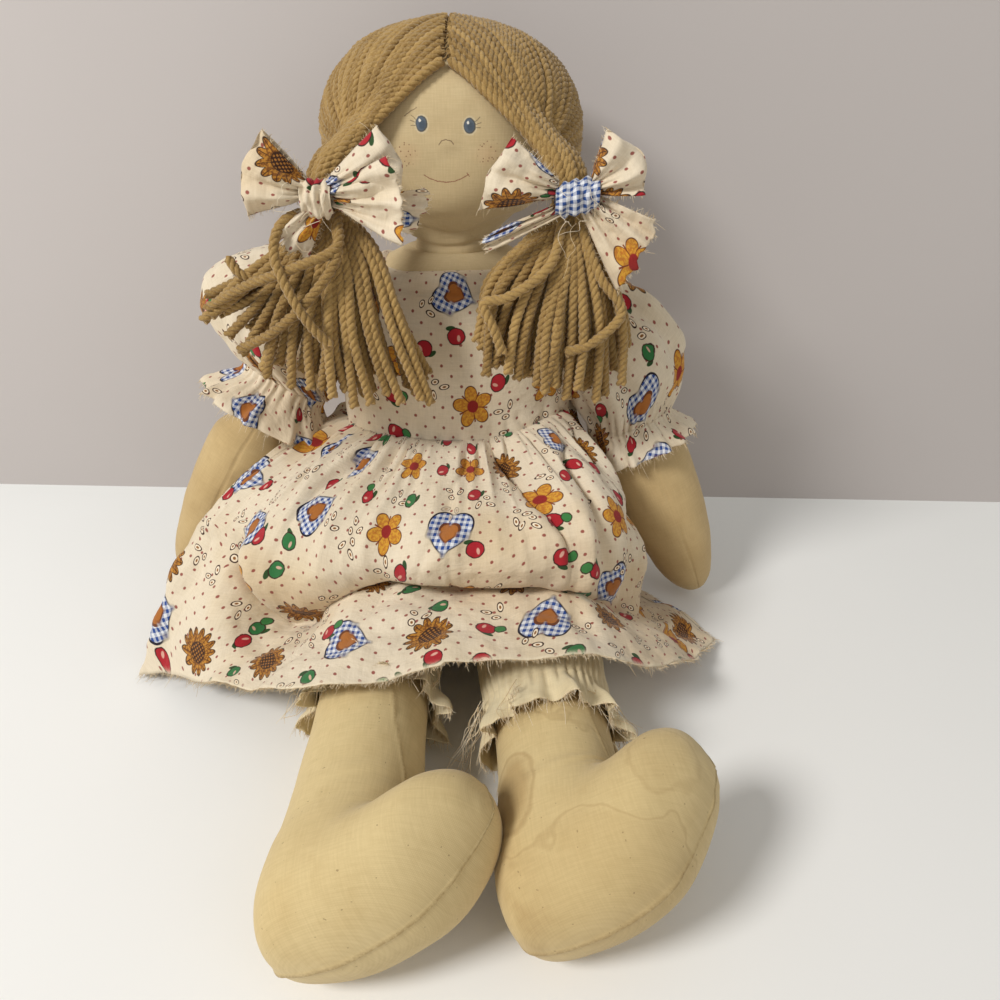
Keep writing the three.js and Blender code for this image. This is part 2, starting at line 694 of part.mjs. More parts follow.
// Bows: a torn strip whose loops and tails fan out from a small core, with a band knotted round it.
// Each wing has its direction in degrees from +X up, its share of the wing's length and half height,
// and how far its tip leans forward as a share of its length.
const bowWings = {
  right: [
    [165, 0.86, 0.92, 0.1],
    [19, 0.76, 1, 0.12],
    [234, 0.74, 0.3, 0.34],
    [-33, 0.96, 0.34, 0.3],
  ],
  left: [
    [168, 0.95, 0.8, 0.12],
    [31, 0.78, 0.74, 0.1],
    [209, 1.1, 0.3, 0.3],
    [-51, 1, 0.78, 0.42],
  ],
};
const wingShares = [
  [0, 0.14, 1],
  [0.2, 0.3, 0.9],
  [0.6, 0.82, 1],
  [1, 1, 0.55],
];
const pleatsRoundWing = 9;
[right, left].forEach(({ name, side }) => {
  const bow = new THREE.Group();
  const knotY = -tieForward - tieRadius - gap - knotRadius;
  bow.position.set(side * tieSpan / 2, knotY, tieHeight);
  head.add(bow);
  const coreRadius = knotRadius - cloth * 2 - gap;
  const core = new THREE.CylinderGeometry(coreRadius, coreRadius, knotHalfWidth * 2 + wingPuff * 2, 12);
  core.rotateZ(Math.PI / 2);
  let strip = toManifold(core);
  bowWings[name].forEach(([turn, lengthShare, heightShare, lean]) => {
    const c = Math.cos(turn * degrees);
    const s = Math.sin(turn * degrees);
    const base = new THREE.Vector3(Math.sign(c) * (knotHalfWidth + wingPuff / 2), 0, 0);
    const length = wingLength * lengthShare;
    const tip = new THREE.Vector3(c * length, -length * lean, s * length);
    const along = tip.clone().sub(base).normalize();
    const across = new THREE.Vector3().crossVectors(along, yAxis).normalize();
    const thick = new THREE.Vector3().crossVectors(across, along).normalize();
    const rings = wingShares.map(([out, tall, puff]) => {
      const centre = base.clone().lerp(tip, out);
      const ripple = (angle) => wingFoldDepth * Math.cos(angle * pleatsRoundWing) * out;
      const a = Math.max(wingHalfHeight * heightShare * tall, wingPuff * 0.7);
      return ring(centre, across, thick, a, wingPuff * puff, pleatsRoundWing * 2, 2, ripple);
    });
    strip = strip.add(toManifold(loft(rings)));
  });
  const band = [0, 1].map((k) => {
    return [-1, -0.5, 0.5, 1].map((t) => {
      const radius = knotRadius - (k === 0 ? knotRounding * t ** 2 : knotWall);
      return ring(new THREE.Vector3(knotHalfWidth * t, 0, 0), yAxis, zAxis, radius, radius, 18);
    });
  });
  const clear = new THREE.CylinderGeometry(
    knotRadius + gap, knotRadius + gap, (knotHalfWidth + gap) * 2, 18,
  );
  clear.rotateZ(Math.PI / 2);
  const bore = new THREE.CylinderGeometry(coreRadius, coreRadius, knotHalfWidth * 4, 12);
  bore.rotateZ(Math.PI / 2);
  const room = toManifold(clear).subtract(toManifold(bore));
  addMesh(bow, `bow_${name}`, fromManifold(strip.subtract(room)), print);
  addMesh(bow, `bow_knot_${name}`, tube(band[0], band[1]), print);
});

// Arms: shares of the arm's length, half width and half depth, from the flat sewn root to the
// pointed mitten. Each arm hangs from its shoulder, splayed out and tilted forward.
const armShares = [
  [0.01, 0.24, 0.62],
  [0.05, 0.5, 0.78],
  [0.13, 0.82, 0.94],
  [0.27, 1, 1],
  [0.46, 1, 1],
  [0.62, 0.92, 0.94],
  [0.76, 0.84, 0.88],
  [0.87, 0.72, 0.76],
  [0.945, 0.5, 0.54],
  [0.985, 0.24, 0.28],
];
// Sleeves: shares of the way down, half width, half depth, and of the turn from the armhole's
// plane to the arm's own direction
const sleeveShares = [
  [0, 0.7, 0.7, 0],
  [0.12, 0.86, 0.86, 0.15],
  [0.3, 0.98, 0.98, 0.45],
  [0.5, 1, 1, 0.75],
  [0.7, 0.96, 0.97, 0.95],
  [0.87, 0.8, 0.84, 1],
];
const ruffleLobes = 11;
const armPower = 2.1;
const sleeveSegments = ruffleLobes * 2;
const torsoClear = torsoLoft(gap);
const bodiceClear = torsoLoft(bodiceOuter + gap);

// Cuts a mesh's geometry with a solid that is given in the doll's own frame
function cutInPlace(geometry, matrix, cutter, keep = false) {
  const placed = toManifold(geometry.clone().applyMatrix4(matrix));
  const cut = keep ? placed.intersect(cutter) : placed.subtract(cutter);
  return fromManifold(cut).applyMatrix4(matrix.clone().invert());
}

[
  { ...right, splay: armRightSplay },
  { ...left, splay: armLeftSplay },
].forEach(({ name, side, splay }) => {
  const tilt = armForwardTilt * degrees;
  const out = splay * degrees;
  const along = new THREE.Vector3(
    side * Math.sin(out) * Math.cos(tilt),
    -Math.sin(tilt),
    -Math.cos(out) * Math.cos(tilt),
  );
  const shoulder = new THREE.Group();
  shoulder.position.set(side * shoulderSpan / 2, shoulderY, shoulderHeight);
  doll.add(shoulder);
  shoulder.updateMatrixWorld();

  const widthAxis = new THREE.Vector3().crossVectors(yAxis, along).normalize();
  const depthAxis = new THREE.Vector3().crossVectors(along, widthAxis).normalize();
  const armRings = armShares.map(([down, wideShare, deepShare]) => ring(
    along.clone().multiplyScalar(armLength * down), widthAxis, depthAxis,
    armHalfWidth * wideShare, armHalfWidth * deepShare, 22, armPower,
  ));
  const arm = loft(armRings, middle(armRings[0]), along.clone().multiplyScalar(armLength));
  addMesh(shoulder, `arm_${name}`, cutInPlace(arm, shoulder.matrixWorld, torsoClear), muslin);

  const gather = along.clone().multiplyScalar(sleeveLength);
  const top = new THREE.Vector3(-side * sleevePuff * 0.2, 0, -sleevePuff * 0.44);
  const sideAxis = new THREE.Vector3(side, 0, 0);
  const gatherRadius = armHalfWidth + gap + elasticThickness + gap + cloth;
  const shell = (inset) => {
    const rings = sleeveShares.map(([down, wideShare, deepShare, turn]) => {
      const facing = sideAxis.clone().lerp(along, turn).normalize();
      const axisA = new THREE.Vector3().crossVectors(yAxis, facing).normalize();
      const axisB = new THREE.Vector3().crossVectors(facing, axisA).normalize();
      const soft = (angle) => sleeveRipple * Math.cos(angle * ruffleLobes) * down;
      const centre = top.clone().lerp(gather, down);
      centre.addScaledVector(sideAxis, sleeveBulge * Math.sin(down * Math.PI));
      return ring(centre, axisA, axisB, sleevePuff * wideShare - inset,
        sleeveHalfDepth * deepShare - inset, sleeveSegments, 2, soft);
    });
    const edge = (down, radius, lobe) => ring(
      along.clone().multiplyScalar(sleeveLength + ruffleLength * down), widthAxis, depthAxis,
      radius - inset, radius - inset, sleeveSegments, armPower,
      (angle) => lobe * Math.cos(angle * ruffleLobes),
    );
    rings.push(edge(0, gatherRadius, 0));
    rings.push(edge(elasticHeight / ruffleLength, gatherRadius, 0));
    rings.push(edge(1, gatherRadius + ruffleFlare, ruffleRipple));
    return rings;
  };
  const sleeve = cutInPlace(tube(shell(0), shell(cloth)), shoulder.matrixWorld, bodiceClear);
  addMesh(shoulder, `sleeve_${name}`, sleeve, print);

  const bandRing = (down, radius) => ring(
    along.clone().multiplyScalar(sleeveLength + down), widthAxis, depthAxis, radius, radius,
    sleeveSegments, armPower,
  );
  const bandInner = armHalfWidth + gap;
  const bandOuter = bandInner + elasticThickness;
  addMesh(shoulder, `sleeve_elastic_${name}`, tube(
    [bandRing(gap, bandOuter), bandRing(elasticHeight, bandOuter)],
    [bandRing(gap, bandInner), bandRing(elasticHeight, bandInner)],
  ), elastic);
});

// Legs: a two-panel boot in profile. Each row has the front and the back point of one section, as
// distances forward and down the leg from the hip, and its half thickness.
const toeReach = footReach - legHalfWidth;
const crease = legLength - ankleRise;
const swell = footHalfThickness - legHalfWidth;
const half = legHalfWidth;
const legSections = [
  [half * 0.5, -half * 0.84, -half * 0.5, -half * 0.84, half * 0.52],
  [half * 0.86, -half * 0.46, -half * 0.86, -half * 0.46, half * 0.88],
  [half, half * 0.3, -half, half * 0.3, half],
  [half, crease * 0.5, -half, crease * 0.5, half],
  [half * 1.02, crease * 0.84, -half * 1.04, crease * 0.86, half + swell * 0.2],
  [half * 1.02, crease * 0.97, -half * 1.1, crease * 1.02, half + swell * 0.5],
  [half * 1.04, crease, -heelBack, crease + ankleRise * 0.36, half + swell * 0.8],
];
// The foot: shares of the toe's reach and of the ankle's rise for the front and the back point,
// counted from the leg's front and the crease; then shares of the swell for the half thickness
const footShares = [
  [0.04, 0.02, -heelBack, 0.7, 1],
  [0.12, 0.02, -heelBack * 0.76, 0.94, 1],
  [0.26, 0, -heelBack * 0.14, 1, 1],
  [0.44, -0.05, half * 0.6, 0.97, 1],
  [0.62, -0.08, half + toeReach * 0.18, 0.87, 0.8],
];
footShares.forEach(([out, up, backOut, down, puff]) => legSections.push([
  half + toeReach * out, crease + ankleRise * up, backOut, crease + ankleRise * down, half + swell * puff,
]));
legSections.push(
  [half + toeReach * 0.8, crease - ankleRise * 0.06, half + toeReach * 0.52, legLength - ankleRise * 0.3,
    half * 0.98],
  [half + toeReach * 0.92, crease + ankleRise * 0.02, half + toeReach * 0.8, legLength - ankleRise * 0.5,
    half * 0.7],
  [half + toeReach * 0.98, crease + ankleRise * 0.15, half + toeReach * 0.95, legLength - ankleRise * 0.66,
    half * 0.32],
);
const legSegments = 26;
const legPower = 2.15;
const kneeShare = 1.05;
const aboveFloor = boxBetween([-wide * 2, -wide * 4, 0], [wide * 2, wide * 2, high]);

[
  { ...right, yaw: legRightYaw, bloomerLength: bloomerRightLength },
  { ...left, yaw: legLeftYaw, bloomerLength: bloomerLeftLength },
].forEach(({ name, side, yaw, bloomerLength }) => {
  const hip = new THREE.Group();
  hip.position.set(side * hipSpan / 2, hipY, hipHeight);
  hip.rotation.set(0, footRoll * degrees, yaw * degrees, 'ZYX');
  doll.add(hip);
  hip.updateMatrixWorld();
  const legRings = legSections.map(([frontOut, frontDown, backOut, backDown, thick]) => {
    const front = new THREE.Vector3(0, -frontDown, frontOut);
    const back = new THREE.Vector3(0, -backDown, backOut);
    const centre = front.clone().lerp(back, 0.5);
    const span = front.clone().sub(back);
    return ring(centre, span.clone().normalize(), xAxis, span.length() / 2, thick, legSegments, legPower);
  });
  const toeTip = new THREE.Vector3(0, -legLength + ankleRise * 0.76, footReach);
  const leg = loft(legRings, new THREE.Vector3(0, legHalfWidth, 0), toeTip);
  addMesh(hip, `leg_${name}`, cutInPlace(leg, hip.matrixWorld, aboveFloor, true), legMuslin);

  const bandInner = legHalfWidth * kneeShare + gap;
  const bandOuter = bandInner + elasticThickness;
  const gatherRadius = bandOuter + gap + cloth;
  const gatherDown = bloomerLength - frillLength;
  const rows = [
    [-bloomerRadius * 0.5, bloomerRadius * 0.86, 0],
    [-bloomerRadius * 0.2, bloomerRadius * 0.975, 0],
    [bloomerRadius * 0.16, bloomerRadius, 0],
    [gatherDown * 0.75, bloomerRadius, 0],
    [gatherDown, gatherRadius, 0],
    [gatherDown + elasticHeight + gap, gatherRadius, 0],
    [bloomerLength, gatherRadius + frillRipple, frillRipple],
  ];
  const shell = (inset) => rows.map(([down, radius, lobe]) => ring(
    new THREE.Vector3(0, -down, 0), xAxis, zAxis, radius - inset, radius - inset, sleeveSegments, legPower,
    (angle) => lobe * Math.cos(angle * ruffleLobes),
  ));
  const bloomer = cutInPlace(tube(shell(0), shell(cloth)), hip.matrixWorld, aboveFloor, true);
  addMesh(hip, `bloomer_leg_${name}`, bloomer, bloomerCloth);

  const bandRing = (down, radius) => ring(
    new THREE.Vector3(0, -gatherDown - down, 0), xAxis, zAxis, radius, radius, sleeveSegments, legPower,
  );
  addMesh(hip, `bloomer_elastic_${name}`, tube(
    [bandRing(gap, bandOuter), bandRing(elasticHeight, bandOuter)],
    [bandRing(gap, bandInner), bandRing(elasticHeight, bandInner)],
  ), elastic);
});

export default doll;
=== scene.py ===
# The looks of a seated rag doll: stuffed muslin limbs, a gathered print dress, torn-strip bows and
# pigtails of plied yarn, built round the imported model. Shapes are worked out in millimetres.
import math
import random

import bpy
import numpy as np
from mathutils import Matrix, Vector


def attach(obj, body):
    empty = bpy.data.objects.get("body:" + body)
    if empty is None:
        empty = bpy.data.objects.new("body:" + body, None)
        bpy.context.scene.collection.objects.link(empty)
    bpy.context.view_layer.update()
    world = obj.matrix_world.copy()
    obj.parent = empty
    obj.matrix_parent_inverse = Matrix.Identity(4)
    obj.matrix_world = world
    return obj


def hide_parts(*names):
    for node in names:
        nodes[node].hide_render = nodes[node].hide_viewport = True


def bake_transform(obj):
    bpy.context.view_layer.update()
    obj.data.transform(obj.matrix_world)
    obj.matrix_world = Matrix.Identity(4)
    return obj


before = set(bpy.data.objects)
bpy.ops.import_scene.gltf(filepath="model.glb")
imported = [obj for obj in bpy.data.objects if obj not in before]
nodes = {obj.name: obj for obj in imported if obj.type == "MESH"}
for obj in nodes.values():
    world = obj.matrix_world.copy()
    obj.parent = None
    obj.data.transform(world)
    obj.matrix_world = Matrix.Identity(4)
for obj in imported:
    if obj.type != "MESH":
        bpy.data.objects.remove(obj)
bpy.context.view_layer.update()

MM = 0.001
TURN = math.pi * 2
X_AXIS, Y_AXIS, Z_AXIS = np.eye(3)
# The doll's own sides, how thick its cloth is, and how square a limb's section
SIDES = {"right": -1, "left": 1}
CLOTH, LIMB_POWER = 0.45, 2.1


# Camera, as the photograph was taken: from in front, a little above the head, looking down
CAMERA_PLACE, CAMERA_DIP, SENSOR, LENS = (0.023, -0.364, 0.276), 32, 36, 26.46


def make_camera():
    data = bpy.data.cameras.new("camera")
    data.sensor_width = SENSOR
    data.lens = LENS
    camera = bpy.data.objects.new("camera", data)
    camera.location = CAMERA_PLACE
    camera.rotation_euler = (math.radians(90 - CAMERA_DIP), 0, 0)
    bpy.context.scene.collection.objects.link(camera)
    bpy.context.scene.camera = camera


make_camera()


# Number helpers
def full_turn(count):
    """Angles evenly spaced round a circle."""
    return np.arange(count) / count * TURN


def from_ahead(angles):
    """The same angles counted from straight ahead, negative to the doll's right."""
    return np.where(angles > math.pi, angles - TURN, angles)


def on_circle(angles, size, level=0.0):
    """Places on a circle, where noise has no seam."""
    return np.stack([np.cos(angles), np.sin(angles), angles * 0 + level], 1) * size


def drawn(chance, *spans):
    """A point with each coordinate drawn at random from its span."""
    return np.array([chance.uniform(*span) for span in spans])


def scatter(cells, seed):
    """A repeatable random number from -1 to 1 for each row of whole numbers."""
    key = cells[..., 0] * 73856093 ^ cells[..., 1] * 19349663 ^ cells[..., 2] * 83492791
    key = (key ^ (seed * 2654435761)) & 0x7FFFFFFF
    key = (key * 1103515245 + 12345) & 0x7FFFFFFF
    key = (key ^ (key >> 13)) * 1597334677 & 0x7FFFFFFF
    return (key ^ (key >> 11)) % 65536 / 32767.5 - 1


def soft_noise(points, cell, seed=1):
    """Smooth noise from -1 to 1 at each point, with lumps about one cell wide."""
    place = np.asarray(points, float) / cell
    base = np.floor(place).astype(np.int64)
    part = place - base
    ease = part ** 3 * (part * (part * 6 - 15) + 10)
    total = np.zeros(place.shape[:-1])
    for dx in (0, 1):
        for dy in (0, 1):
            for dz in (0, 1):
                weight = (ease[..., 0] if dx else 1 - ease[..., 0])
                weight = weight * (ease[..., 1] if dy else 1 - ease[..., 1])
                weight = weight * (ease[..., 2] if dz else 1 - ease[..., 2])
                total += weight * scatter(base + np.array([dx, dy, dz]), seed)
    return total


def cloudy(points, cell, seed=1, octaves=3):
    """Noise with finer and finer lumps added."""
    total = np.zeros(np.asarray(points).shape[:-1])
    for k in range(octaves):
        total += soft_noise(points, cell / 2 ** k, seed + 17 * k) / 2 ** k
    return total


def through(rows, count):
    """Samples a smooth curve through rows of numbers; the first column says where each row is."""
    table = np.asarray(rows, float)
    where = table[:, 0]
    slope = np.gradient(table, axis=0) / np.gradient(where)[:, None]
    at = np.asarray(count, float) if np.ndim(count) else np.linspace(where[0], where[-1], count)
    k = np.clip(np.searchsorted(where, at, side="right") - 1, 0, len(where) - 2)
    step = (where[k + 1] - where[k])[:, None]
    t = ((at - where[k])[:, None]) / step
    a, b, ma, mb = table[k], table[k + 1], slope[k] * step, slope[k + 1] * step
    out = (2 * t ** 3 - 3 * t ** 2 + 1) * a + (t ** 3 - 2 * t ** 2 + t) * ma
    out += (3 * t ** 2 - 2 * t ** 3) * b + (t ** 3 - t ** 2) * mb
    return out[:, 1:]


def unit(vectors):
    lengths = np.linalg.norm(vectors, axis=-1, keepdims=True)
    return vectors / np.maximum(lengths, 1e-9)


def smooth_step(low, high, value):
    t = np.clip((value - low) / (high - low), 0, 1)
    return t * t * (3 - 2 * t)


def resample(path, spacing):
    """Points an even distance apart along a path."""
    path = np.asarray(path, float)
    lengths = np.concatenate([[0], np.cumsum(np.linalg.norm(np.diff(path, axis=0), axis=1))])
    count = max(2, int(round(lengths[-1] / spacing)) + 1)
    at = np.linspace(0, lengths[-1], count)
    return np.stack([np.interp(at, lengths, path[:, k]) for k in range(3)], axis=1)


def curve_through(points, spacing=1.5):
    """A smooth path through a few points, sampled evenly."""
    points = np.asarray(points, float)
    where = np.concatenate([[0], np.cumsum(np.linalg.norm(np.diff(points, axis=0), axis=1))])
    rows = np.column_stack([where, points])
    return resample(through(rows, max(8, int(where[-1] / spacing) * 3)), spacing)


def ellipse_ring(centre, axis_a, axis_b, a, b, angles, power=2.0):
    """Points on a superellipse at each angle."""
    c, s = np.cos(angles), np.sin(angles)
    x = np.sign(c) * np.abs(c) ** (2 / power) * a
    y = np.sign(s) * np.abs(s) ** (2 / power) * b
    return centre + x[..., None] * axis_a + y[..., None] * axis_b


def grid_normals(grid, wrapped):
    """Outward or upward direction at each point of a grid."""
    if wrapped:
        across = np.roll(grid, -1, axis=1) - np.roll(grid, 1, axis=1)
    else:
        across = np.gradient(grid, axis=1)
    down = np.gradient(grid, axis=0)
    return unit(np.cross(across, down))


# Mesh helpers
def new_object(name, mesh):
    piece = bpy.data.objects.new(name, mesh)
    bpy.context.scene.collection.objects.link(piece)
    return piece


def grid_piece(name, grid, cloth_uv=None, wrapped=False, start_cap=False, end_cap=False):
    """A mesh from rows of points in millimetres, with its cloth coordinates in metres. A wrapped
    grid closes on itself along its rows, and its cloth coordinates have one column more."""
    rows, columns = grid.shape[:2]
    points = grid.reshape(-1, 3)
    r, c = np.meshgrid(np.arange(rows - 1), np.arange(columns if wrapped else columns - 1), indexing="ij")
    r, c = r.ravel(), c.ravel()
    c2 = (c + 1) % columns
    faces = np.stack([r * columns + c, r * columns + c2, (r + 1) * columns + c2, (r + 1) * columns + c], 1)
    faces = faces.tolist()
    uv_columns = columns + 1 if wrapped else columns
    if cloth_uv is None:
        cloth_uv = measured_uv(grid, wrapped)
    flat_uv = cloth_uv.reshape(-1, 2)
    corner_uv = np.stack([r * uv_columns + c, r * uv_columns + c + 1,
                          (r + 1) * uv_columns + c + 1, (r + 1) * uv_columns + c], 1).ravel()
    corner_uv = flat_uv[corner_uv].tolist()
    extra = []
    for wanted, row, turned in ((start_cap, 0, True), (end_cap, rows - 1, False)):
        if not wanted:
            continue
        extra.append(grid[row].mean(axis=0))
        tip = len(points) + len(extra) - 1
        tip_uv = cloth_uv[row].mean(axis=0).tolist()
        for k in range(columns):
            a, b = row * columns + k, row * columns + (k + 1) % columns
            pair = (cloth_uv[row, k].tolist(), cloth_uv[row, k + 1].tolist())
            faces.append([tip, b, a] if turned else [tip, a, b])
            corner_uv.extend([tip_uv, pair[1], pair[0]] if turned else [tip_uv, pair[0], pair[1]])
    if extra:
        points = np.vstack([points, np.array(extra)])
    mesh = bpy.data.meshes.new(name)
    mesh.from_pydata((points * MM).tolist(), [], faces)
    layer = mesh.uv_layers.new(name="cloth")
    layer.data.foreach_set("uv", np.asarray(corner_uv, np.float32).ravel())
    mesh.polygons.foreach_set("use_smooth", np.ones(len(mesh.polygons), bool))
    mesh.update()
    return new_object(name, mesh)


def measured_uv(grid, wrapped, row=None):
    """Cloth coordinates in metres: the length along the middle row, and the length down each column."""
    whole = np.concatenate([grid, grid[:, :1]], axis=1) if wrapped else grid
    steps = np.linalg.norm(np.diff(whole, axis=1), axis=2)
    widest = steps[np.argmax(steps.sum(axis=1)) if row is None else row]
    u = np.concatenate([[0], np.cumsum(widest)])
    down = np.linalg.norm(np.diff(whole, axis=0), axis=2)
    v = np.concatenate([np.zeros((1, whole.shape[1])), np.cumsum(down, axis=0)])
    v = (v * 0.35 + v.mean(axis=1, keepdims=True) * 0.65)
    return np.stack([np.broadcast_to(u, v.shape), v], axis=2) * MM


def settle(piece):
    """Turns a piece's modifiers into plain mesh."""
    graph = bpy.context.evaluated_depsgraph_get()
    mesh = bpy.data.meshes.new_from_object(piece.evaluated_get(graph))
    piece.modifiers.clear()
    piece.data = mesh
    return piece


def thicken(piece, thickness, offset=-1.0):
    """Gives a sheet of cloth its two sides and its edge."""
    wall = piece.modifiers.new("thickness", "SOLIDIFY")
    wall.thickness = thickness * MM
    wall.offset = offset
    return settle(piece)


def finish_piece(piece, material, body, stands_for=(), turns_with=None):
    """Gives a piece its material and its body, and hides the nodes it stands for; a piece given turns_with
    keeps its place and gets no body.
    """
    piece.data.materials.clear()
    piece.data.materials.append(material)
    if turns_with is None:
        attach(piece, body)
    else:
        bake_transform(piece)
    if stands_for:
        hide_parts(*stands_for)
    return piece


# Node helpers for materials
def linear(code):
    """A colour written as six hex digits, as the shader wants it."""
    parts = [int(code[k:k + 2], 16) / 255 for k in (0, 2, 4)]
    parts = [p / 12.92 if p <= 0.04045 else ((p + 0.055) / 1.055) ** 2.4 for p in parts]
    return (*parts, 1.0)


class Wire:
    """One value in a material's tree, so that sums and products read as plain arithmetic."""

    def __init__(self, tree, socket):
        self.tree = tree
        self.socket = socket

    def math(self, operation, *others):
        node = self.tree.nodes.new("ShaderNodeMath")
        node.operation = operation
        for socket, value in zip(node.inputs, (self, *others)):
            connect(self.tree, value, socket)
        return Wire(self.tree, node.outputs[0])

    def between(self, low, high):
        """0 below low and 1 above high, with a soft edge; low may be the larger."""
        node = self.tree.nodes.new("ShaderNodeMapRange")
        node.interpolation_type = "SMOOTHSTEP"
        connect(self.tree, self, node.inputs["Value"])
        node.inputs["From Min"].default_value = low
        node.inputs["From Max"].default_value = high
        return Wire(self.tree, node.outputs["Result"])


def wire_method(operation):
    return lambda wire, *others: wire.math(operation, *others)


for method, operation in (
    ("__add__", "ADD"), ("__sub__", "SUBTRACT"), ("__mul__", "MULTIPLY"), ("__truediv__", "DIVIDE"),
    ("smaller", "MINIMUM"), ("larger", "MAXIMUM"), ("size", "ABSOLUTE"), ("root", "SQRT"), ("sine", "SINE"),
    ("cosine", "COSINE"),
):
    setattr(Wire, method, wire_method(operation))


def connect(tree, value, socket):
    if isinstance(value, Wire):
        tree.links.new(value.socket, socket)
    else:
        socket.default_value = value


def new_material(name, roughness=0.9, sheen=0.0):
    material = bpy.data.materials.new(name)
    material.use_nodes = True
    shader = material.node_tree.nodes["Principled BSDF"]
    shader.inputs["Roughness"].default_value = roughness
    shader.inputs["Specular IOR Level"].default_value = 0.25
    shader.inputs["Sheen Weight"].default_value = sheen
    shader.inputs["Sheen Roughness"].default_value = 0.5
    return material, material.node_tree, shader


def uv_wire(tree):
    """The piece's own cloth coordinates, in metres."""
    node = tree.nodes.new("ShaderNodeUVMap")
    node.uv_map = "cloth"
    return Wire(tree, node.outputs["UV"])


def object_wire(tree):
    node = tree.nodes.new("ShaderNodeTexCoord")
    return Wire(tree, node.outputs["Object"])


def attribute_wire(tree, name):
    node = tree.nodes.new("ShaderNodeAttribute")
    node.attribute_name = name
    return Wire(tree, node.outputs["Fac"])


def parts_of(vector):
    node = vector.tree.nodes.new("ShaderNodeSeparateXYZ")
    vector.tree.links.new(vector.socket, node.inputs[0])
    return [Wire(vector.tree, out) for out in node.outputs]


def joined(tree, x, y, z=0.0):
    node = tree.nodes.new("ShaderNodeCombineXYZ")
    for socket, value in zip(node.inputs, (x, y, z)):
        connect(tree, value, socket)
    return Wire(tree, node.outputs[0])


def scaled(vector, factor):
    node = vector.tree.nodes.new("ShaderNodeVectorMath")
    node.operation = "SCALE"
    connect(vector.tree, vector, node.inputs[0])
    node.inputs["Scale"].default_value = factor
    return Wire(vector.tree, node.outputs[0])


def noise_wire(vector, scale, detail=3.0, roughness=0.55, stretch=None):
    """Noise from 0 to 1 along a vector, which may be stretched first."""
    tree = vector.tree
    if stretch:
        node = tree.nodes.new("ShaderNodeVectorMath")
        node.operation = "MULTIPLY"
        connect(tree, vector, node.inputs[0])
        node.inputs[1].default_value = stretch
        vector = Wire(tree, node.outputs[0])
    node = tree.nodes.new("ShaderNodeTexNoise")
    connect(tree, vector, node.inputs["Vector"])
    node.inputs["Scale"].default_value = scale
    node.inputs["Detail"].default_value = detail
    node.inputs["Roughness"].default_value = roughness
    return Wire(tree, node.outputs["Fac"])


def mixed(tree, factor, below, above, blend="MIX"):
    """Two colours, mixed by a factor."""
    node = tree.nodes.new("ShaderNodeMix")
    node.data_type = "RGBA"
    node.blend_type = blend
    connect(tree, factor, node.inputs["Factor"])
    connect(tree, below, node.inputs[6])
    connect(tree, above, node.inputs[7])
    return Wire(tree, node.outputs[2])


def bumped(tree, shader, height, distance, strength, previous=None):
    node = tree.nodes.new("ShaderNodeBump")
    node.inputs["Strength"].default_value = strength
    node.inputs["Distance"].default_value = distance
    connect(tree, height, node.inputs["Height"])
    if previous is not None:
        tree.links.new(previous, node.inputs["Normal"])
    tree.links.new(node.outputs[0], shader.inputs["Normal"])
    return node.outputs[0]


def length_of(x, y):
    return (x * x + y * y).root()


def printed(tree, base, mask, code):
    """A colour laid over the base where the mask is 1."""
    return mixed(tree, mask, base, linear(code))


def weave_height(vector, threads_per_metre):
    """The over and under of a plain weave, from 0 to 1."""
    u, v, _ = parts_of(vector)
    across = (u * (threads_per_metre * math.pi)).sine()
    along = (v * (threads_per_metre * math.pi)).sine()
    return (across * along).size()


def woven(tree, shader, base, vector, threads=1500, bump=0.00012):
    """Puts a plain weave with slubs on a base colour and on the surface; the gaps between threads are painted
    darker as shade, and the slubs vary the threads' own tone.
    """
    height = weave_height(vector, threads)
    slub_u = noise_wire(vector, 1, 2, 0.6, (110, 1500, 1))
    slub_v = noise_wire(vector, 1, 2, 0.6, (1500, 110, 1))
    thread = (slub_u + slub_v) * 0.5
    tone = thread.between(0.25, 0.75)
    # Painted shade: darker where the weave dips between threads, mixed with the slubs' own tone
    light = (height * 0.35 + tone * 0.65).between(0.0, 1.0)
    gap_shade_and_slub_tone = mixed(tree, light, (0.90, 0.88, 0.84, 1), (1.04, 1.035, 1.03, 1))
    coloured = mixed(tree, 1.0, base, gap_shade_and_slub_tone, "MULTIPLY")
    tree.links.new(coloured.socket, shader.inputs["Base Color"])
    return bumped(tree, shader, height * 0.5 + thread, bump, 0.6)


def muslin_cloth(name, code, blotch, stains):
    material, tree, shader = new_material(name, 0.92, 0.12)
    place = object_wire(tree)
    soft = noise_wire(place, 14, 4, 0.6).between(0.42, 0.75)
    fine = noise_wire(place, 90, 3, 0.6).between(0.45, 0.8)
    base = mixed(tree, soft * stains, linear(code), linear(blotch))
    base = printed(tree, base, fine * (stains * 0.5), blotch)
    woven(tree, shader, base, uv_wire(tree))
    return material


# Floor, backdrop and light, in metres
WALL_Y, WALL_SLOPE, STAGE_SIZE = 0.088, 0.035, 6.0
LAMP_AIM, WORLD_LIGHT = (0, -0.05, 0.1), 0.45


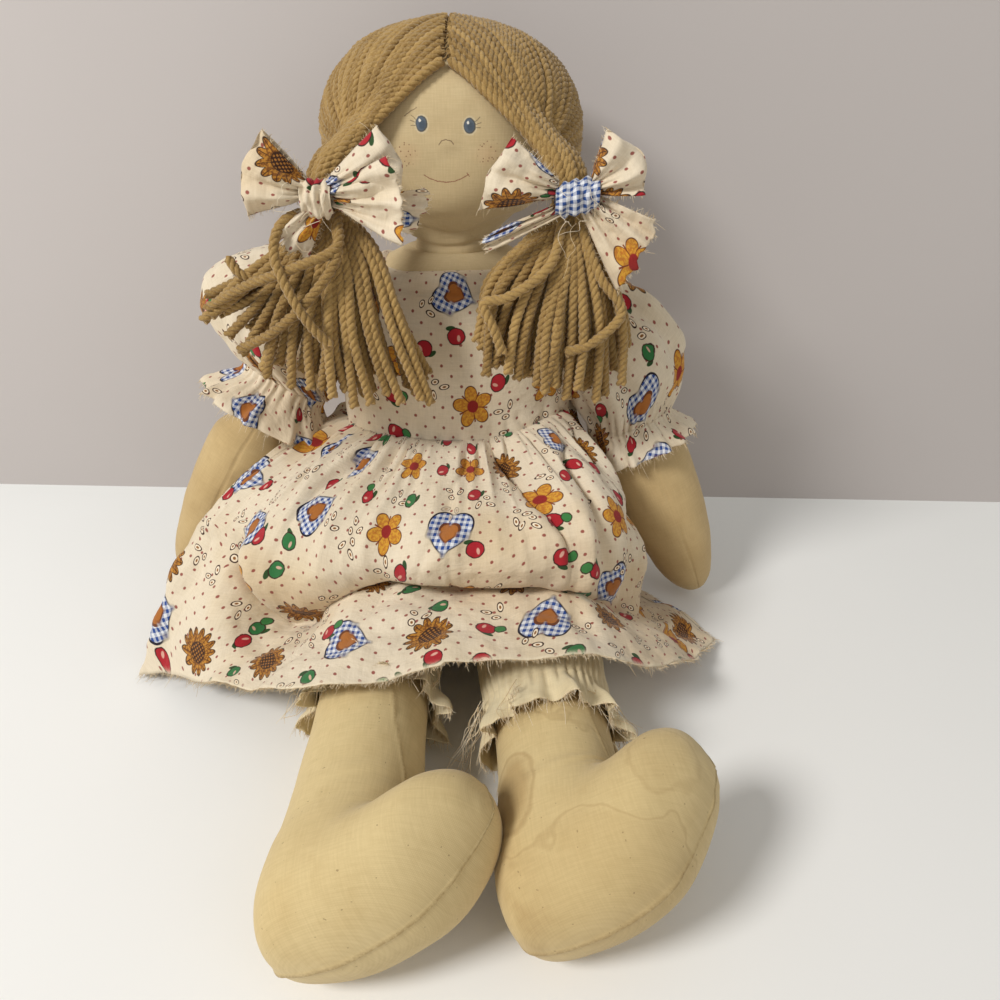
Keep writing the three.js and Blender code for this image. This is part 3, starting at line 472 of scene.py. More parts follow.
def make_plane(name, corners, code, one_sided):
    mesh = bpy.data.meshes.new(name)
    mesh.from_pydata(corners, [], [(0, 1, 2, 3)])
    plane = new_object(name, mesh)
    material, tree, shader = new_material(f"{name}_paint", 0.75)
    place = object_wire(tree)
    cloud = noise_wire(place, 5, 3, 0.5).between(0.3, 0.7)
    base = mixed(tree, cloud * 0.3, linear(code), scaled_colour(code, 0.94))
    connect(tree, base, shader.inputs["Base Color"])
    if one_sided:
        side = tree.nodes.new("ShaderNodeNewGeometry")
        clear = tree.nodes.new("ShaderNodeBsdfTransparent")
        either = tree.nodes.new("ShaderNodeMixShader")
        tree.links.new(side.outputs["Backfacing"], either.inputs[0])
        tree.links.new(shader.outputs[0], either.inputs[1])
        tree.links.new(clear.outputs[0], either.inputs[2])
        tree.links.new(either.outputs[0], tree.nodes["Material Output"].inputs["Surface"])
    mesh.materials.append(material)
    return plane


def scaled_colour(code, factor):
    red, green, blue, alpha = linear(code)
    return red * factor, green * factor, blue * factor, alpha


def area_lamp(name, place, size, power):
    data = bpy.data.lights.new(name, "AREA")
    data.shape = "DISK"
    data.size = size
    data.energy = power
    light = bpy.data.objects.new(name, data)
    light.location = place
    light.rotation_euler = (Vector(LAMP_AIM) - Vector(place)).to_track_quat("-Z", "Y").to_euler()
    bpy.context.scene.collection.objects.link(light)


def make_stage():
    size = STAGE_SIZE
    floor = [(-size, -size, 0), (size, -size, 0), (size, size, 0), (-size, size, 0)]
    make_plane("floor", floor, "efede8", False)
    near, far = WALL_Y - WALL_SLOPE * size, WALL_Y + WALL_SLOPE * size
    wall = make_plane("wall", [(-size, far, 0), (size, near, 0), (size, near, size), (-size, far, size)],
                      "bfb8b4", True)
    wall.visible_shadow = False
    wall.visible_diffuse = False
    wall.visible_glossy = False

    world = bpy.data.worlds.new("studio")
    bpy.context.scene.world = world
    world.use_nodes = True
    world.node_tree.nodes["Background"].inputs["Color"].default_value = linear("f4f3f1")
    world.node_tree.nodes["Background"].inputs["Strength"].default_value = WORLD_LIGHT
    area_lamp("window", (-1.0, -0.75, 1.25), 0.5, 21)
    area_lamp("room", (1.3, -1.2, 1.2), 1.4, 3.6)
    bpy.context.scene.view_settings.view_transform = "Standard"


make_stage()


# Boots: the length of a leg and of its foot at the ankle, on each side
LEG_LENGTH, LEG_HALF, ANKLE, REACH, HEEL, FOOT_HALF = 204, 23, 50, 58, 28, 28
HIP_X, HIP_Y, HIP_HEIGHT, FOOT_ROLL = 35, -38, 27.85, 62
LEG_SIZES = {"right": (LEG_LENGTH + 3, ANKLE - 4.5), "left": (LEG_LENGTH - 4, ANKLE + 4)}
LEG_YAWS = {"right": 1.5, "left": 5}
FLOOR_GAP = 0.15


def leg_rows(length, ankle):
    """Front height and place, back height and place, and half thickness of sections down the leg."""
    toe = REACH - LEG_HALF
    crease = length - ankle
    swell = FOOT_HALF - LEG_HALF
    half, heel = LEG_HALF, HEEL
    return [
        (half * 0.5, -half * 0.84, -half * 0.5, -half * 0.84, half * 0.52),
        (half * 0.86, -half * 0.46, -half * 0.86, -half * 0.46, half * 0.88),
        (half, half * 0.3, -half, half * 0.3, half),
        (half, crease * 0.5, -half, crease * 0.5, half),
        (half * 1.02, crease * 0.84, -half * 1.04, crease * 0.86, half + swell * 0.2),
        (half * 1.02, crease * 0.97, -half * 1.1, crease * 1.02, half + swell * 0.5),
        (half * 1.04, crease, -heel, crease + ankle * 0.36, half + swell * 0.8),
        (half + toe * 0.04, crease + ankle * 0.02, -heel, crease + ankle * 0.7, FOOT_HALF),
        (half + toe * 0.12, crease + ankle * 0.02, -heel * 0.76, length - ankle * 0.06, FOOT_HALF),
        (half + toe * 0.26, crease, -heel * 0.14, length, FOOT_HALF),
        (half + toe * 0.44, crease - ankle * 0.05, half * 0.6, length - ankle * 0.03, FOOT_HALF),
        (half + toe * 0.62, crease - ankle * 0.08, half + toe * 0.18, length - ankle * 0.13,
         FOOT_HALF - swell * 0.2),
        (half + toe * 0.8, crease - ankle * 0.06, half + toe * 0.52, length - ankle * 0.3, half * 0.98),
        (half + toe * 0.92, crease + ankle * 0.02, half + toe * 0.8, length - ankle * 0.5, half * 0.7),
        (half + toe * 0.98, crease + ankle * 0.15, half + toe * 0.95, length - ankle * 0.66, half * 0.32),
    ]


def hip_turn(name):
    """A leg's turn about its hip, rolled about Y and then yawed about Z, and the hip's place."""
    roll, turn = math.radians(FOOT_ROLL), math.radians(LEG_YAWS[name])
    about_y = np.array([[math.cos(roll), 0, math.sin(roll)], [0, 1, 0], [-math.sin(roll), 0, math.cos(roll)]])
    about_z = np.array([[math.cos(turn), -math.sin(turn), 0], [math.sin(turn), math.cos(turn), 0], [0, 0, 1]])
    return about_z @ about_y, np.array([SIDES[name] * HIP_X, HIP_Y, HIP_HEIGHT])


def leg_grid(length, ankle, around=184, count=150):
    rows = leg_rows(length, ankle)
    spaced = np.arange(len(rows), dtype=float)
    sampled = through(np.column_stack([spaced, rows]), count)
    front = np.stack([np.zeros(count), -sampled[:, 1], sampled[:, 0]], 1)
    back = np.stack([np.zeros(count), -sampled[:, 3], sampled[:, 2]], 1)
    span = front - back
    angles = full_turn(around)
    half_length = (np.linalg.norm(span, axis=1) / 2)[:, None]
    grid = ellipse_ring(((front + back) / 2)[:, None, :], unit(span)[:, None, :], X_AXIS, half_length,
                        sampled[:, 4][:, None], angles[None, :], 2.15)
    # The toe's rounded end
    tip = np.array([0, -length + ankle * 0.76, REACH])
    tail = [grid[-1] * (1 - t) + tip * t for t in (0.45, 0.75, 0.93)]
    tail = [tip + (ring - tip) * grow for ring, grow in zip(tail, (1.25, 1.35, 1.5))]
    return np.concatenate([grid, np.array(tail)]), angles


def seam_pinch(grid, angles, seam_angles, depth, width, wander=0.0):
    """Draws cloth in along a seam, with small puckers each side of it."""
    normals = grid_normals(grid, True)
    angles = angles[None, :] + np.reshape(wander, (-1, 1))
    inward = np.zeros(grid.shape[:2])
    for seam in seam_angles:
        gap = (angles - seam + math.pi) % TURN - math.pi
        near = np.exp(-(gap / width) ** 2)
        beside = np.exp(-(np.abs(gap) / (width * 3.2)) ** 2)
        wave = soft_noise(grid, 5.5, 31)
        inward += near * depth + beside * wave * depth * 0.8
    return grid - normals * inward[..., None]


def make_leg(name):
    grid, angles = leg_grid(*LEG_SIZES[name])
    seed = 5 if name == "left" else 9
    grid = grid + grid_normals(grid, True) * (cloudy(grid, 34, seed, 2) * 0.7)[..., None]
    # The seam runs along the boot's outline and wanders round to the front of the shin
    down = np.clip(-grid[..., 1].mean(axis=1), 0, LEG_LENGTH)
    wander = 0.62 * (1 - smooth_step(LEG_LENGTH * 0.5, LEG_LENGTH * 0.86, down))
    grid = seam_pinch(grid, angles, (0, math.pi), 0.55, 0.022, wander)
    beside = angles[None] + wander[:, None]
    seams = np.exp(-(np.minimum(np.abs(np.sin(beside / 2)), np.abs(np.cos(beside / 2))) / 0.012) ** 2)
    # Small creases where the foot turns up
    in_front = np.cos(angles)[None]
    creases = np.exp(-((down[:, None] - 150 - 5 * in_front) / 7) ** 2)
    ripples = np.sin(down[:, None] * 0.55 + 3 * soft_noise(grid, 30, 6))
    dimples = ripples * 0.35 * creases * (0.5 + 0.5 * in_front)
    grid = grid - grid_normals(grid, True) * dimples[..., None]
    whole = np.concatenate([grid, grid[:, :1]], axis=1)
    panel = np.stack([whole[..., 2], whole[..., 1]], 2) * MM
    turn, place = hip_turn(name)
    grid = grid @ turn.T + place
    # The underside lies flat on the floor
    height = grid[..., 2] - FLOOR_GAP
    grid[..., 2] = FLOOR_GAP + (height + np.sqrt(height ** 2 + 2.5)) / 2
    body = f"leg_{name}"
    piece = grid_piece(f"{body}_skin", grid, panel, wrapped=True, start_cap=True, end_cap=True)
    values = np.concatenate([seams.ravel(), np.zeros(2)]).astype(np.float32)
    piece.data.attributes.new("seam", "FLOAT", "POINT").data.foreach_set("value", values)
    finish_piece(piece, leg_muslin(f"leg_muslin_{name}", name == "left"), body, [body])


def leg_muslin(name, stained):
    """Unbleached muslin with a few specks, and on one boot the rims of dried stains."""
    material, tree, shader = new_material(name, 0.92, 0.12)
    place = object_wire(tree)
    soft = noise_wire(place, 12, 4, 0.6).between(0.42, 0.78)
    base = mixed(tree, soft * 0.32, linear("d2bc8b"), linear("b59963"))
    base = printed(tree, base, noise_wire(place, 120, 3, 0.6).between(0.5, 0.85) * 0.16, "a3844e")
    worn = noise_wire(scaled(place, 1.7), 21, 3, 0.5).between(0.55, 0.8)
    base = printed(tree, base, worn * 0.25, "c2a670")
    specks = noise_wire(place, 800, 0).between(0.83, 0.86)
    base = printed(tree, base, specks * 0.5, "6d5334")
    stitches = noise_wire(place, 900, 1).between(0.4, 0.55)
    base = printed(tree, base, attribute_wire(tree, "seam") * (stitches * 0.35 + 0.3), "9c7f4e")
    if stained:
        x, y, z = parts_of(place)
        wave = (noise_wire(place, 40, 2, 0.5) - 0.5) * 0.034
        fine = (noise_wire(scaled(place, 1.2), 170, 1, 0.5) - 0.5) * 0.002
        sole = y * -1.0 - 0.214 + wave * 0.9 + fine
        patch_x = (x - 0.027) / 0.0095 + wave * 30
        patch_y = (y + 0.193) / 0.016 - wave * 22
        patch = (length_of(patch_x, patch_y) - 1.0) * 0.009 + fine * 0.6
        top = y + 0.168 + (x - 0.045) * 0.3 + wave * 1.2 + fine
        ring = (length_of(x - 0.079, y + 0.196) - 0.012) + wave * 0.5 + fine
        upper = z.between(0.012, 0.03)
        stains = ((sole * -1.0, 0.2, 0.12), (patch, 0.3, 0.5), (top * -1.0, 0.2, 0.14), (ring, 0.14, 0.1))
        for field, line, fill in stains:
            rim = field.size().between(0.0011, 0.0001)
            tone = field.between(0.001, -0.004)
            base = printed(tree, base, rim * line * upper, "8c6836")
            base = printed(tree, base, tone * fill, "9c7a48")
        grime = noise_wire(scaled(place, 0.9), 26, 4, 0.65).between(0.5, 0.75)
        flank = (x - 0.035).between(0.012, -0.012) * (y + 0.19).between(0.02, -0.02)
        base = printed(tree, base, grime * flank * 0.5, "94713f")
    woven(tree, shader, base, uv_wire(tree), 2600, 0.00006)
    return material


for side_name in SIDES:
    make_leg(side_name)


# Geometry Nodes helpers: every tree has named inputs, ends in Realize Instances and Set Material
def start_tree(name, inputs):
    tree = bpy.data.node_groups.new(name, "GeometryNodeTree")
    tree.interface.new_socket("Geometry", in_out="INPUT", socket_type="NodeSocketGeometry")
    for label, kind, value in inputs:
        socket = tree.interface.new_socket(label, in_out="INPUT", socket_type=kind)
        if value is not None:
            socket.default_value = value
    tree.interface.new_socket("Geometry", in_out="OUTPUT", socket_type="NodeSocketGeometry")
    return tree, tree.nodes.new("NodeGroupInput"), tree.nodes.new("NodeGroupOutput")


def add_node(tree, kind, **settings):
    node = tree.nodes.new(kind)
    for key, value in settings.items():
        setattr(node, key, value)
    return node


def tree_math(tree, operation, *values):
    node = add_node(tree, "ShaderNodeMath", operation=operation)
    for socket, value in zip(node.inputs, values):
        if isinstance(value, (int, float)):
            socket.default_value = value
        else:
            tree.links.new(value, socket)
    return node.outputs[0]


def tree_vector(tree, operation, *values, factor=None):
    node = add_node(tree, "ShaderNodeVectorMath", operation=operation)
    for socket, value in zip(node.inputs, values):
        tree.links.new(value, socket)
    if factor is not None:
        tree.links.new(factor, node.inputs["Scale"])
    return node.outputs[0]


def close_tree(tree, group_in, group_out, geometry):
    smooth = add_node(tree, "GeometryNodeSetShadeSmooth")
    real = add_node(tree, "GeometryNodeRealizeInstances")
    paint = add_node(tree, "GeometryNodeSetMaterial")
    tree.links.new(geometry, real.inputs[0])
    tree.links.new(real.outputs[0], smooth.inputs["Geometry"])
    tree.links.new(smooth.outputs[0], paint.inputs["Geometry"])
    tree.links.new(group_in.outputs["Material"], paint.inputs["Material"])
    tree.links.new(paint.outputs[0], group_out.inputs[0])


def store_named(tree, geometry, name, value):
    node = add_node(tree, "GeometryNodeStoreNamedAttribute", data_type="FLOAT", domain="POINT")
    node.inputs["Name"].default_value = name
    tree.links.new(geometry, node.inputs["Geometry"])
    tree.links.new(value, node.inputs["Value"])
    return node.outputs[0]


def strand_tones(tree, geometry, seed):
    """Stores one random tone for each strand; gives the geometry and the tone."""
    owner = add_node(tree, "GeometryNodeCurveOfPoint")
    chance = add_node(tree, "FunctionNodeRandomValue", data_type="FLOAT")
    chance.inputs["Seed"].default_value = seed
    tree.links.new(owner.outputs["Curve Index"], chance.inputs["ID"])
    tone = next(out for out in chance.outputs if out.enabled and out.type == "VALUE")
    return store_named(tree, geometry, "strand_tone", tone), tone


def plied_yarn_tree():
    """Plies twisted round each path. A path's radius is how far its plies have come apart."""
    tree, group_in, group_out = start_tree("plied_yarn", [
        ("Material", "NodeSocketMaterial", None),
        ("Spacing", "NodeSocketFloat", 0.0011),
        ("Twist Length", "NodeSocketFloat", 0.0095),
        ("Ply Radius", "NodeSocketFloat", 0.00125),
        ("Ply Offset", "NodeSocketFloat", 0.00112),
    ])
    link = tree.links.new
    even = add_node(tree, "GeometryNodeResampleCurve", mode="LENGTH")
    link(group_in.outputs["Geometry"], even.inputs["Curve"])
    link(group_in.outputs["Spacing"], even.inputs["Length"])
    along = add_node(tree, "GeometryNodeSplineParameter")
    base, tone = strand_tones(tree, even.outputs[0], 7)
    radius = add_node(tree, "GeometryNodeInputRadius")
    normal = add_node(tree, "GeometryNodeInputNormal")
    tangent = add_node(tree, "GeometryNodeInputTangent")
    side = tree_vector(tree, "CROSS_PRODUCT", tangent.outputs[0], normal.outputs[0])
    join = add_node(tree, "GeometryNodeJoinGeometry")
    ring = add_node(tree, "GeometryNodeCurvePrimitiveCircle")
    ring.inputs["Resolution"].default_value = 6
    link(group_in.outputs["Ply Radius"], ring.inputs["Radius"])
    turns = tree_math(tree, "DIVIDE", along.outputs["Length"], group_in.outputs["Twist Length"])
    for ply in range(3):
        shift = tree_math(tree, "ADD", tree_math(tree, "MULTIPLY", tone, 3.0), ply / 3)
        angle = tree_math(tree, "MULTIPLY", tree_math(tree, "ADD", turns, shift), TURN)
        reach = tree_math(tree, "MULTIPLY", group_in.outputs["Ply Offset"], radius.outputs[0])
        part_n = tree_vector(tree, "SCALE", normal.outputs[0],
                             factor=tree_math(tree, "MULTIPLY", tree_math(tree, "COSINE", angle), reach))
        part_s = tree_vector(tree, "SCALE", side,
                             factor=tree_math(tree, "MULTIPLY", tree_math(tree, "SINE", angle), reach))
        move = add_node(tree, "GeometryNodeSetPosition")
        link(base, move.inputs["Geometry"])
        link(tree_vector(tree, "ADD", part_n, part_s), move.inputs["Offset"])
        level = add_node(tree, "GeometryNodeSetCurveRadius")
        link(move.outputs[0], level.inputs["Curve"])
        level.inputs["Radius"].default_value = 1.0
        tube = add_node(tree, "GeometryNodeCurveToMesh")
        link(level.outputs[0], tube.inputs["Curve"])
        link(ring.outputs[0], tube.inputs["Profile Curve"])
        tube.inputs["Fill Caps"].default_value = True
        link(tube.outputs[0], join.inputs[0])
    close_tree(tree, group_in, group_out, join.outputs[0])
    return tree


def thin_thread_tree():
    """A fine thread along each path, thinner where the path's radius is smaller."""
    tree, group_in, group_out = start_tree("thin_thread", [
        ("Material", "NodeSocketMaterial", None),
        ("Thread Radius", "NodeSocketFloat", 0.00016),
    ])
    link = tree.links.new
    ring = add_node(tree, "GeometryNodeCurvePrimitiveCircle")
    ring.inputs["Resolution"].default_value = 4
    link(group_in.outputs["Thread Radius"], ring.inputs["Radius"])
    base, _ = strand_tones(tree, group_in.outputs["Geometry"], 3)
    radius = add_node(tree, "GeometryNodeInputRadius")
    tube = add_node(tree, "GeometryNodeCurveToMesh")
    link(base, tube.inputs["Curve"])
    link(ring.outputs[0], tube.inputs["Profile Curve"])
    link(radius.outputs[0], tube.inputs["Scale"])
    tube.inputs["Fill Caps"].default_value = True
    close_tree(tree, group_in, group_out, tube.outputs[0])
    return tree


def run_tree(source, tree, name, material, **values):
    """The tree's result as a plain mesh piece; the source is removed. Inputs go by their identifiers."""
    modifier = source.modifiers.new("nodes", "NODES")
    modifier.node_group = tree
    values["Material"] = material
    for item in tree.interface.items_tree:
        if item.in_out == "INPUT" and item.name in values:
            modifier[item.identifier] = values[item.name]
    graph = bpy.context.evaluated_depsgraph_get()
    mesh = bpy.data.meshes.new_from_object(source.evaluated_get(graph))
    mesh.name = name
    bpy.data.objects.remove(source)
    return new_object(name, mesh)


def path_curves(name, paths, radii=None):
    """A curve object from paths in millimetres. Radii run along each path and are 1 by default."""
    data = bpy.data.curves.new(name, "CURVE")
    data.dimensions = "3D"
    for k, path in enumerate(paths):
        spline = data.splines.new("POLY")
        spline.points.add(len(path) - 1)
        flat = np.ones((len(path), 4))
        flat[:, :3] = np.asarray(path) * MM
        spline.points.foreach_set("co", flat.ravel())
        spline.points.foreach_set("radius", np.ones(len(path)) if radii is None else radii[k])
    piece = bpy.data.objects.new(name, data)
    bpy.context.scene.collection.objects.link(piece)
    return piece


yarn_tree = plied_yarn_tree()
thread_tree = thin_thread_tree()


def yarn_piece(name, paths, radii=None, **values):
    return run_tree(path_curves(name + "_paths", paths, radii), yarn_tree, name, yarn_wool, **values)


def thread_piece(name, paths, material, radius=0.16):
    """Fine threads, each tapered towards its free end."""
    radii = [np.linspace(1.0, 0.55, len(path)) for path in paths]
    return run_tree(path_curves(name + "_paths", paths, radii), thread_tree, name, material,
                    **{"Thread Radius": radius * MM})


def make_yarn_wool():
    material, tree, shader = new_material("yarn_wool", 0.88, 0.25)
    place = object_wire(tree)
    tone = attribute_wire(tree, "strand_tone")
    speck = noise_wire(place, 1100, 3, 0.65)
    patch = noise_wire(place, 45, 3, 0.6)
    base = mixed(tree, tone, linear("856635"), linear("a98850"))
    base = printed(tree, base, patch.between(0.45, 0.75) * 0.5, "6d5127")
    base = printed(tree, base, speck.between(0.35, 0.75) * 0.45, "c3a56c")
    tree.links.new(base.socket, shader.inputs["Base Color"])
    fibre = noise_wire(place, 1500, 2, 0.7)
    bumped(tree, shader, fibre, 0.0004, 0.55)
    return material


def make_thread_cotton(name, light, dark):
    material, tree, shader = new_material(name, 0.9, 0.1)
    tone = attribute_wire(tree, "strand_tone")
    base = mixed(tree, tone, linear(dark), linear(light))
    tree.links.new(base.socket, shader.inputs["Base Color"])
    bumped(tree, shader, noise_wire(object_wire(tree), 2500, 2), 0.0002, 0.4)
    return material


yarn_wool = make_yarn_wool()
fray_cotton = make_thread_cotton("fray_cotton", "efe2c8", "c9ad80")
parting_thread = make_thread_cotton("parting_thread", "a98a58", "7d6034")


# Head: shares of height, half width, half depth and lean, from the neck's foot to the crown
NECK_BASE, HEAD_HEIGHT, HEAD_WIDE, HEAD_DEEP, HEAD_LEAN, NECK_Y = 194, 88, 58, 41, 14, 20
HEAD_POWER, YARN_STEP = 2.1, 1.6
HEAD_SHARES = [
    (0, 0.37, 0.4, 0),
    (0.08, 0.47, 0.56, 0.16),
    (0.19, 0.76, 0.81, 0.3),
    (0.34, 0.95, 0.96, 0.45),
    (0.52, 1, 1, 0.62),
    (0.69, 0.95, 0.96, 0.76),
    (0.82, 0.8, 0.82, 0.88),
    (0.92, 0.58, 0.6, 0.95),
    (0.98, 0.27, 0.3, 1),
    (1.0, 0.05, 0.05, 1),
]
HEAD_CENTRE = np.array([0.0, 32.0, 243.0])
KNOT_X, KNOT_Z = 52.0, 221.0
TIES = {name: np.array([side * KNOT_X, -24.0, KNOT_Z]) for name, side in SIDES.items()}


def head_grid(around, count):
    ups = np.concatenate([np.linspace(0, 0.9, count), 1 - 0.1 * (1 - np.linspace(0, 1, 26)[1:]) ** 2])
    sampled = through(HEAD_SHARES, ups)
    angles = full_turn(around)
    y = NECK_Y + HEAD_LEAN * sampled[:, 2]
    centre = np.stack([np.zeros(len(ups)), y, NECK_BASE + HEAD_HEIGHT * ups], 1)
    a = np.maximum(HEAD_WIDE * sampled[:, 0], 0.4)[:, None]
    b = np.maximum(HEAD_DEEP * sampled[:, 1], 0.4)[:, None]
    return ellipse_ring(centre[:, None, :], X_AXIS, Y_AXIS, a, b, angles[None, :], HEAD_POWER)


def head_reach(direction):
    """How far the head's surface is from its middle in each direction."""
    low, high = np.zeros(len(direction)), np.full(len(direction), 110.0)
    for _ in range(26):
        half = (low + high) / 2
        point = HEAD_CENTRE + direction * half[:, None]
        up = np.clip((point[:, 2] - NECK_BASE) / HEAD_HEIGHT, 0, 1)
        row = through(HEAD_SHARES, up)
        x = np.abs(point[:, 0]) / np.maximum(HEAD_WIDE * row[:, 0], 0.5)
        y = np.abs(point[:, 1] - NECK_Y - HEAD_LEAN * row[:, 2]) / np.maximum(HEAD_DEEP * row[:, 1], 0.5)
        outside = (x ** HEAD_POWER + y ** HEAD_POWER > 1) | (point[:, 2] > NECK_BASE + HEAD_HEIGHT)
        high = np.where(outside, half, high)
        low = np.where(outside, low, half)
    return (low + high) / 2


def over_head(path, lift):
    """Pushes a path out until it lies on the head, lifted off it by a few millimetres."""
    away = path - HEAD_CENTRE
    distance = np.linalg.norm(away, axis=1)
    direction = away / np.maximum(distance, 1e-6)[:, None]
    wanted = head_reach(direction) + lift
    softness = 3.0
    reach = np.maximum(distance, wanted) + softness * np.exp(-np.abs(distance - wanted) / softness) * 0.3
    return HEAD_CENTRE + direction * reach[:, None]


def parting_line(spacing):
    """Points along the middle of the scalp, from the forehead over the crown to the nape."""
    angles = np.radians(np.linspace(37, 212, 160))
    direction = np.stack([np.zeros_like(angles), -np.cos(angles), np.sin(angles)], 1)
    line = HEAD_CENTRE + direction * (head_reach(direction) + 2.2)[:, None]
    return resample(line, spacing)


def make_hair(name, side):
    """Yarn from the parting to the tie, strand beside strand, over a layer that fills the gaps."""
    chance = random.Random(40 + side)
    tie = TIES[name]
    starts = parting_line(4.8)
    between = (starts[:-1] + starts[1:]) / 2
    t = np.linspace(0, 1, 60)[:, None]
    paths = []
    for k, start in [*enumerate(starts), *((k + 0.5, spot) for k, spot in enumerate(between) if k > 8)]:
        share = k / (len(starts) - 1)
        under = k != int(k)
        spot = chance.uniform(0.35, 1.0) ** 0.5 * 6.6
        angle = math.radians(200 - 290 * share + chance.uniform(-14, 14))
        end = tie + np.array([side * math.cos(angle) * spot, -math.sin(angle) * spot, 0.0])
        begin = start + np.array([side * 1.6, 0, chance.uniform(-0.3, 0.5)])
        knee = tie + (end - tie) * 1.3 + np.array([0.0, 3.0 + 5.0 * share, 17.0])
        line = (1 - t) ** 2 * begin + 2 * (1 - t) * t * (begin * 0.35 + knee * 0.65)
        line = line + t ** 2 * (knee * 0.55 + end * 0.45)
        layer = -1.4 if under else (k % 3) * 1.5
        lift = 2.3 + layer * smooth_step(0.35, 0.9, t[:, 0]) + soft_noise(line + k * 31.0, 26, 3) * 0.5
        lift = lift - (3.6 if under else 1.2) * (1 - smooth_step(0.0, 0.08, t[:, 0]))
        line = over_head(line, lift)
        tail = np.array([line[-1] * (1 - s) + end * s for s in (0.4, 0.75, 1.0)])
        paths.append(curve_through(np.vstack([line[::6], tail]), YARN_STEP))
    piece = yarn_piece(f"hair_{name}_yarn", paths, Spacing=0.0017)
    finish_piece(piece, yarn_wool, "head", [f"hair_{name}"])


# Pigtails: guide strands in the doll's frame, in millimetres, from which the others are mixed
PIGTAIL_GUIDES = {
    "right": [
        [(-54, -26, 214), (-66, -33, 203), (-88, -41, 187), (-109, -42, 172)],
        [(-54, -28, 214), (-64, -37, 200), (-80, -46, 180), (-95, -49, 164)],
        [(-53, -30, 213), (-60, -42, 196), (-70, -51, 174), (-80, -53, 150)],
        [(-52, -31, 213), (-55, -45, 194), (-61, -54, 168), (-66, -54, 144)],
        [(-50, -31, 213), (-49, -46, 194), (-52, -55, 165), (-52, -54, 137)],
        [(-49, -30, 213), (-43, -46, 194), (-42, -55, 166), (-38, -53, 137)],
        [(-47, -29, 213), (-36, -43, 195), (-29, -52, 168), (-22, -51, 135)],
        [(-46, -27, 214), (-30, -38, 198), (-18, -48, 170), (-8, -48, 134)],
    ],
    "left": [
        [(47, -26, 214), (36, -34, 203), (19, -44, 186), (13, -48, 163)],
        [(48, -28, 214), (38, -40, 200), (24, -50, 180), (19, -52, 148)],
        [(49, -30, 213), (43, -44, 196), (35, -54, 172), (31, -54, 146)],
        [(51, -31, 213), (49, -46, 194), (45, -55, 168), (43, -54, 144)],
        [(53, -31, 213), (54, -46, 194), (54, -55, 166), (54, -53, 140)],
        [(55, -30, 213), (61, -44, 194), (66, -52, 168), (66, -50, 137)],
        [(57, -28, 213), (68, -39, 195), (76, -46, 170), (80, -44, 143)],
    ],
}
FLYAWAYS = {
    "right": [
        [(-54, -38, 216), (-66, -47, 213), (-70, -54, 202), (-64, -60, 186), (-57, -62, 174),
         (-50, -61, 165)],
        [(-46, -36, 213), (-45, -49, 203), (-60, -55, 197), (-86, -50, 187), (-106, -44, 176)],
        [(-48, -34, 213), (-45, -50, 200), (-56, -57, 185), (-74, -57, 170), (-92, -52, 160)],
        [(-95, -38, 196), (-90, -41, 190), (-84, -40, 187), (-76, -38, 186)],
    ],
    "left": [
        [(50, -34, 213), (44, -50, 196), (26, -56, 184), (16, -57, 182), (20, -58, 172), (24, -57, 160)],
        [(56, -34, 213), (66, -48, 190), (76, -50, 176), (63, -56, 164), (52, -56, 160)],
        [(57, -32, 213), (70, -42, 190), (78, -44, 172), (81, -42, 158)],
    ],
}


# How many strands a layer has, and how far each layer lies behind the guides
STRANDS_A_LAYER = {"right": 17, "left": 15}
LAYER_DEPTHS = (0.0, 6.5, 13.0)


def make_pigtail(name, side):
    """Three layers of strands mixed from the guides, then the few that cross over them."""
    chance = random.Random(80 + side)
    guides = np.array(PIGTAIL_GUIDES[name], float)
    paths = []
    count = STRANDS_A_LAYER[name]
    for layer, depth in enumerate(LAYER_DEPTHS):
        for k in range(count):
            share = (k + 0.5 * (layer % 2) + chance.uniform(-0.25, 0.25)) / (count - 0.5)
            at = np.clip(share, 0, 1) * (len(guides) - 1)
            low = min(int(at), len(guides) - 2)
            points = guides[low] * (1 - (at - low)) + guides[low + 1] * (at - low)
            points[1:, 1] += depth * np.array([0.4, 0.85, 1.0])
            points[0, 1] += layer * 2.2
            points[1:, 0] += np.array([0.4, 0.8, 1.0]) * chance.uniform(-3.5, 3.5)
            points[2, 0] += chance.uniform(-3.0, 3.0)
            points[3, 2] += chance.uniform(-4.5, 4.0) + layer * 3.0
            points[2:, 1] += chance.uniform(-1.6, 1.6)
            start = TIES[name] + (points[0] - TIES[name]) * 0.8 + np.array([0, 0, 5.0])
            paths.append(curve_through(np.vstack([start[None], points]), YARN_STEP))
    paths += [curve_through(points, YARN_STEP) for points in FLYAWAYS[name]]
    # The plies come apart a little at each cut end
    radii = [1 + 0.45 * smooth_step(0.965, 1.0, np.linspace(0, 1, len(path))) for path in paths]
    body = f"pigtail_{name}"
    piece = yarn_piece(f"{body}_yarn", paths, radii, Spacing=0.0013)
    finish_piece(piece, yarn_wool, body, [body])


def make_tie(name):
    """Yarn wound three times round the top of a pigtail."""
    turns = np.linspace(0, TURN * 3.1, 150)
    radius = 8.6 + 0.5 * np.sin(turns * 2.0)
    path = np.stack([np.cos(turns) * radius, np.sin(turns) * radius, np.linspace(-2.2, 2.2, 150)], 1)
    thin = {"Ply Radius": 0.0008, "Ply Offset": 0.00072, "Twist Length": 0.006}
    piece = yarn_piece(f"pigtail_tie_{name}_yarn", [path + TIES[name]], **thin)
    finish_piece(piece, yarn_wool, "head", [f"pigtail_tie_{name}"])


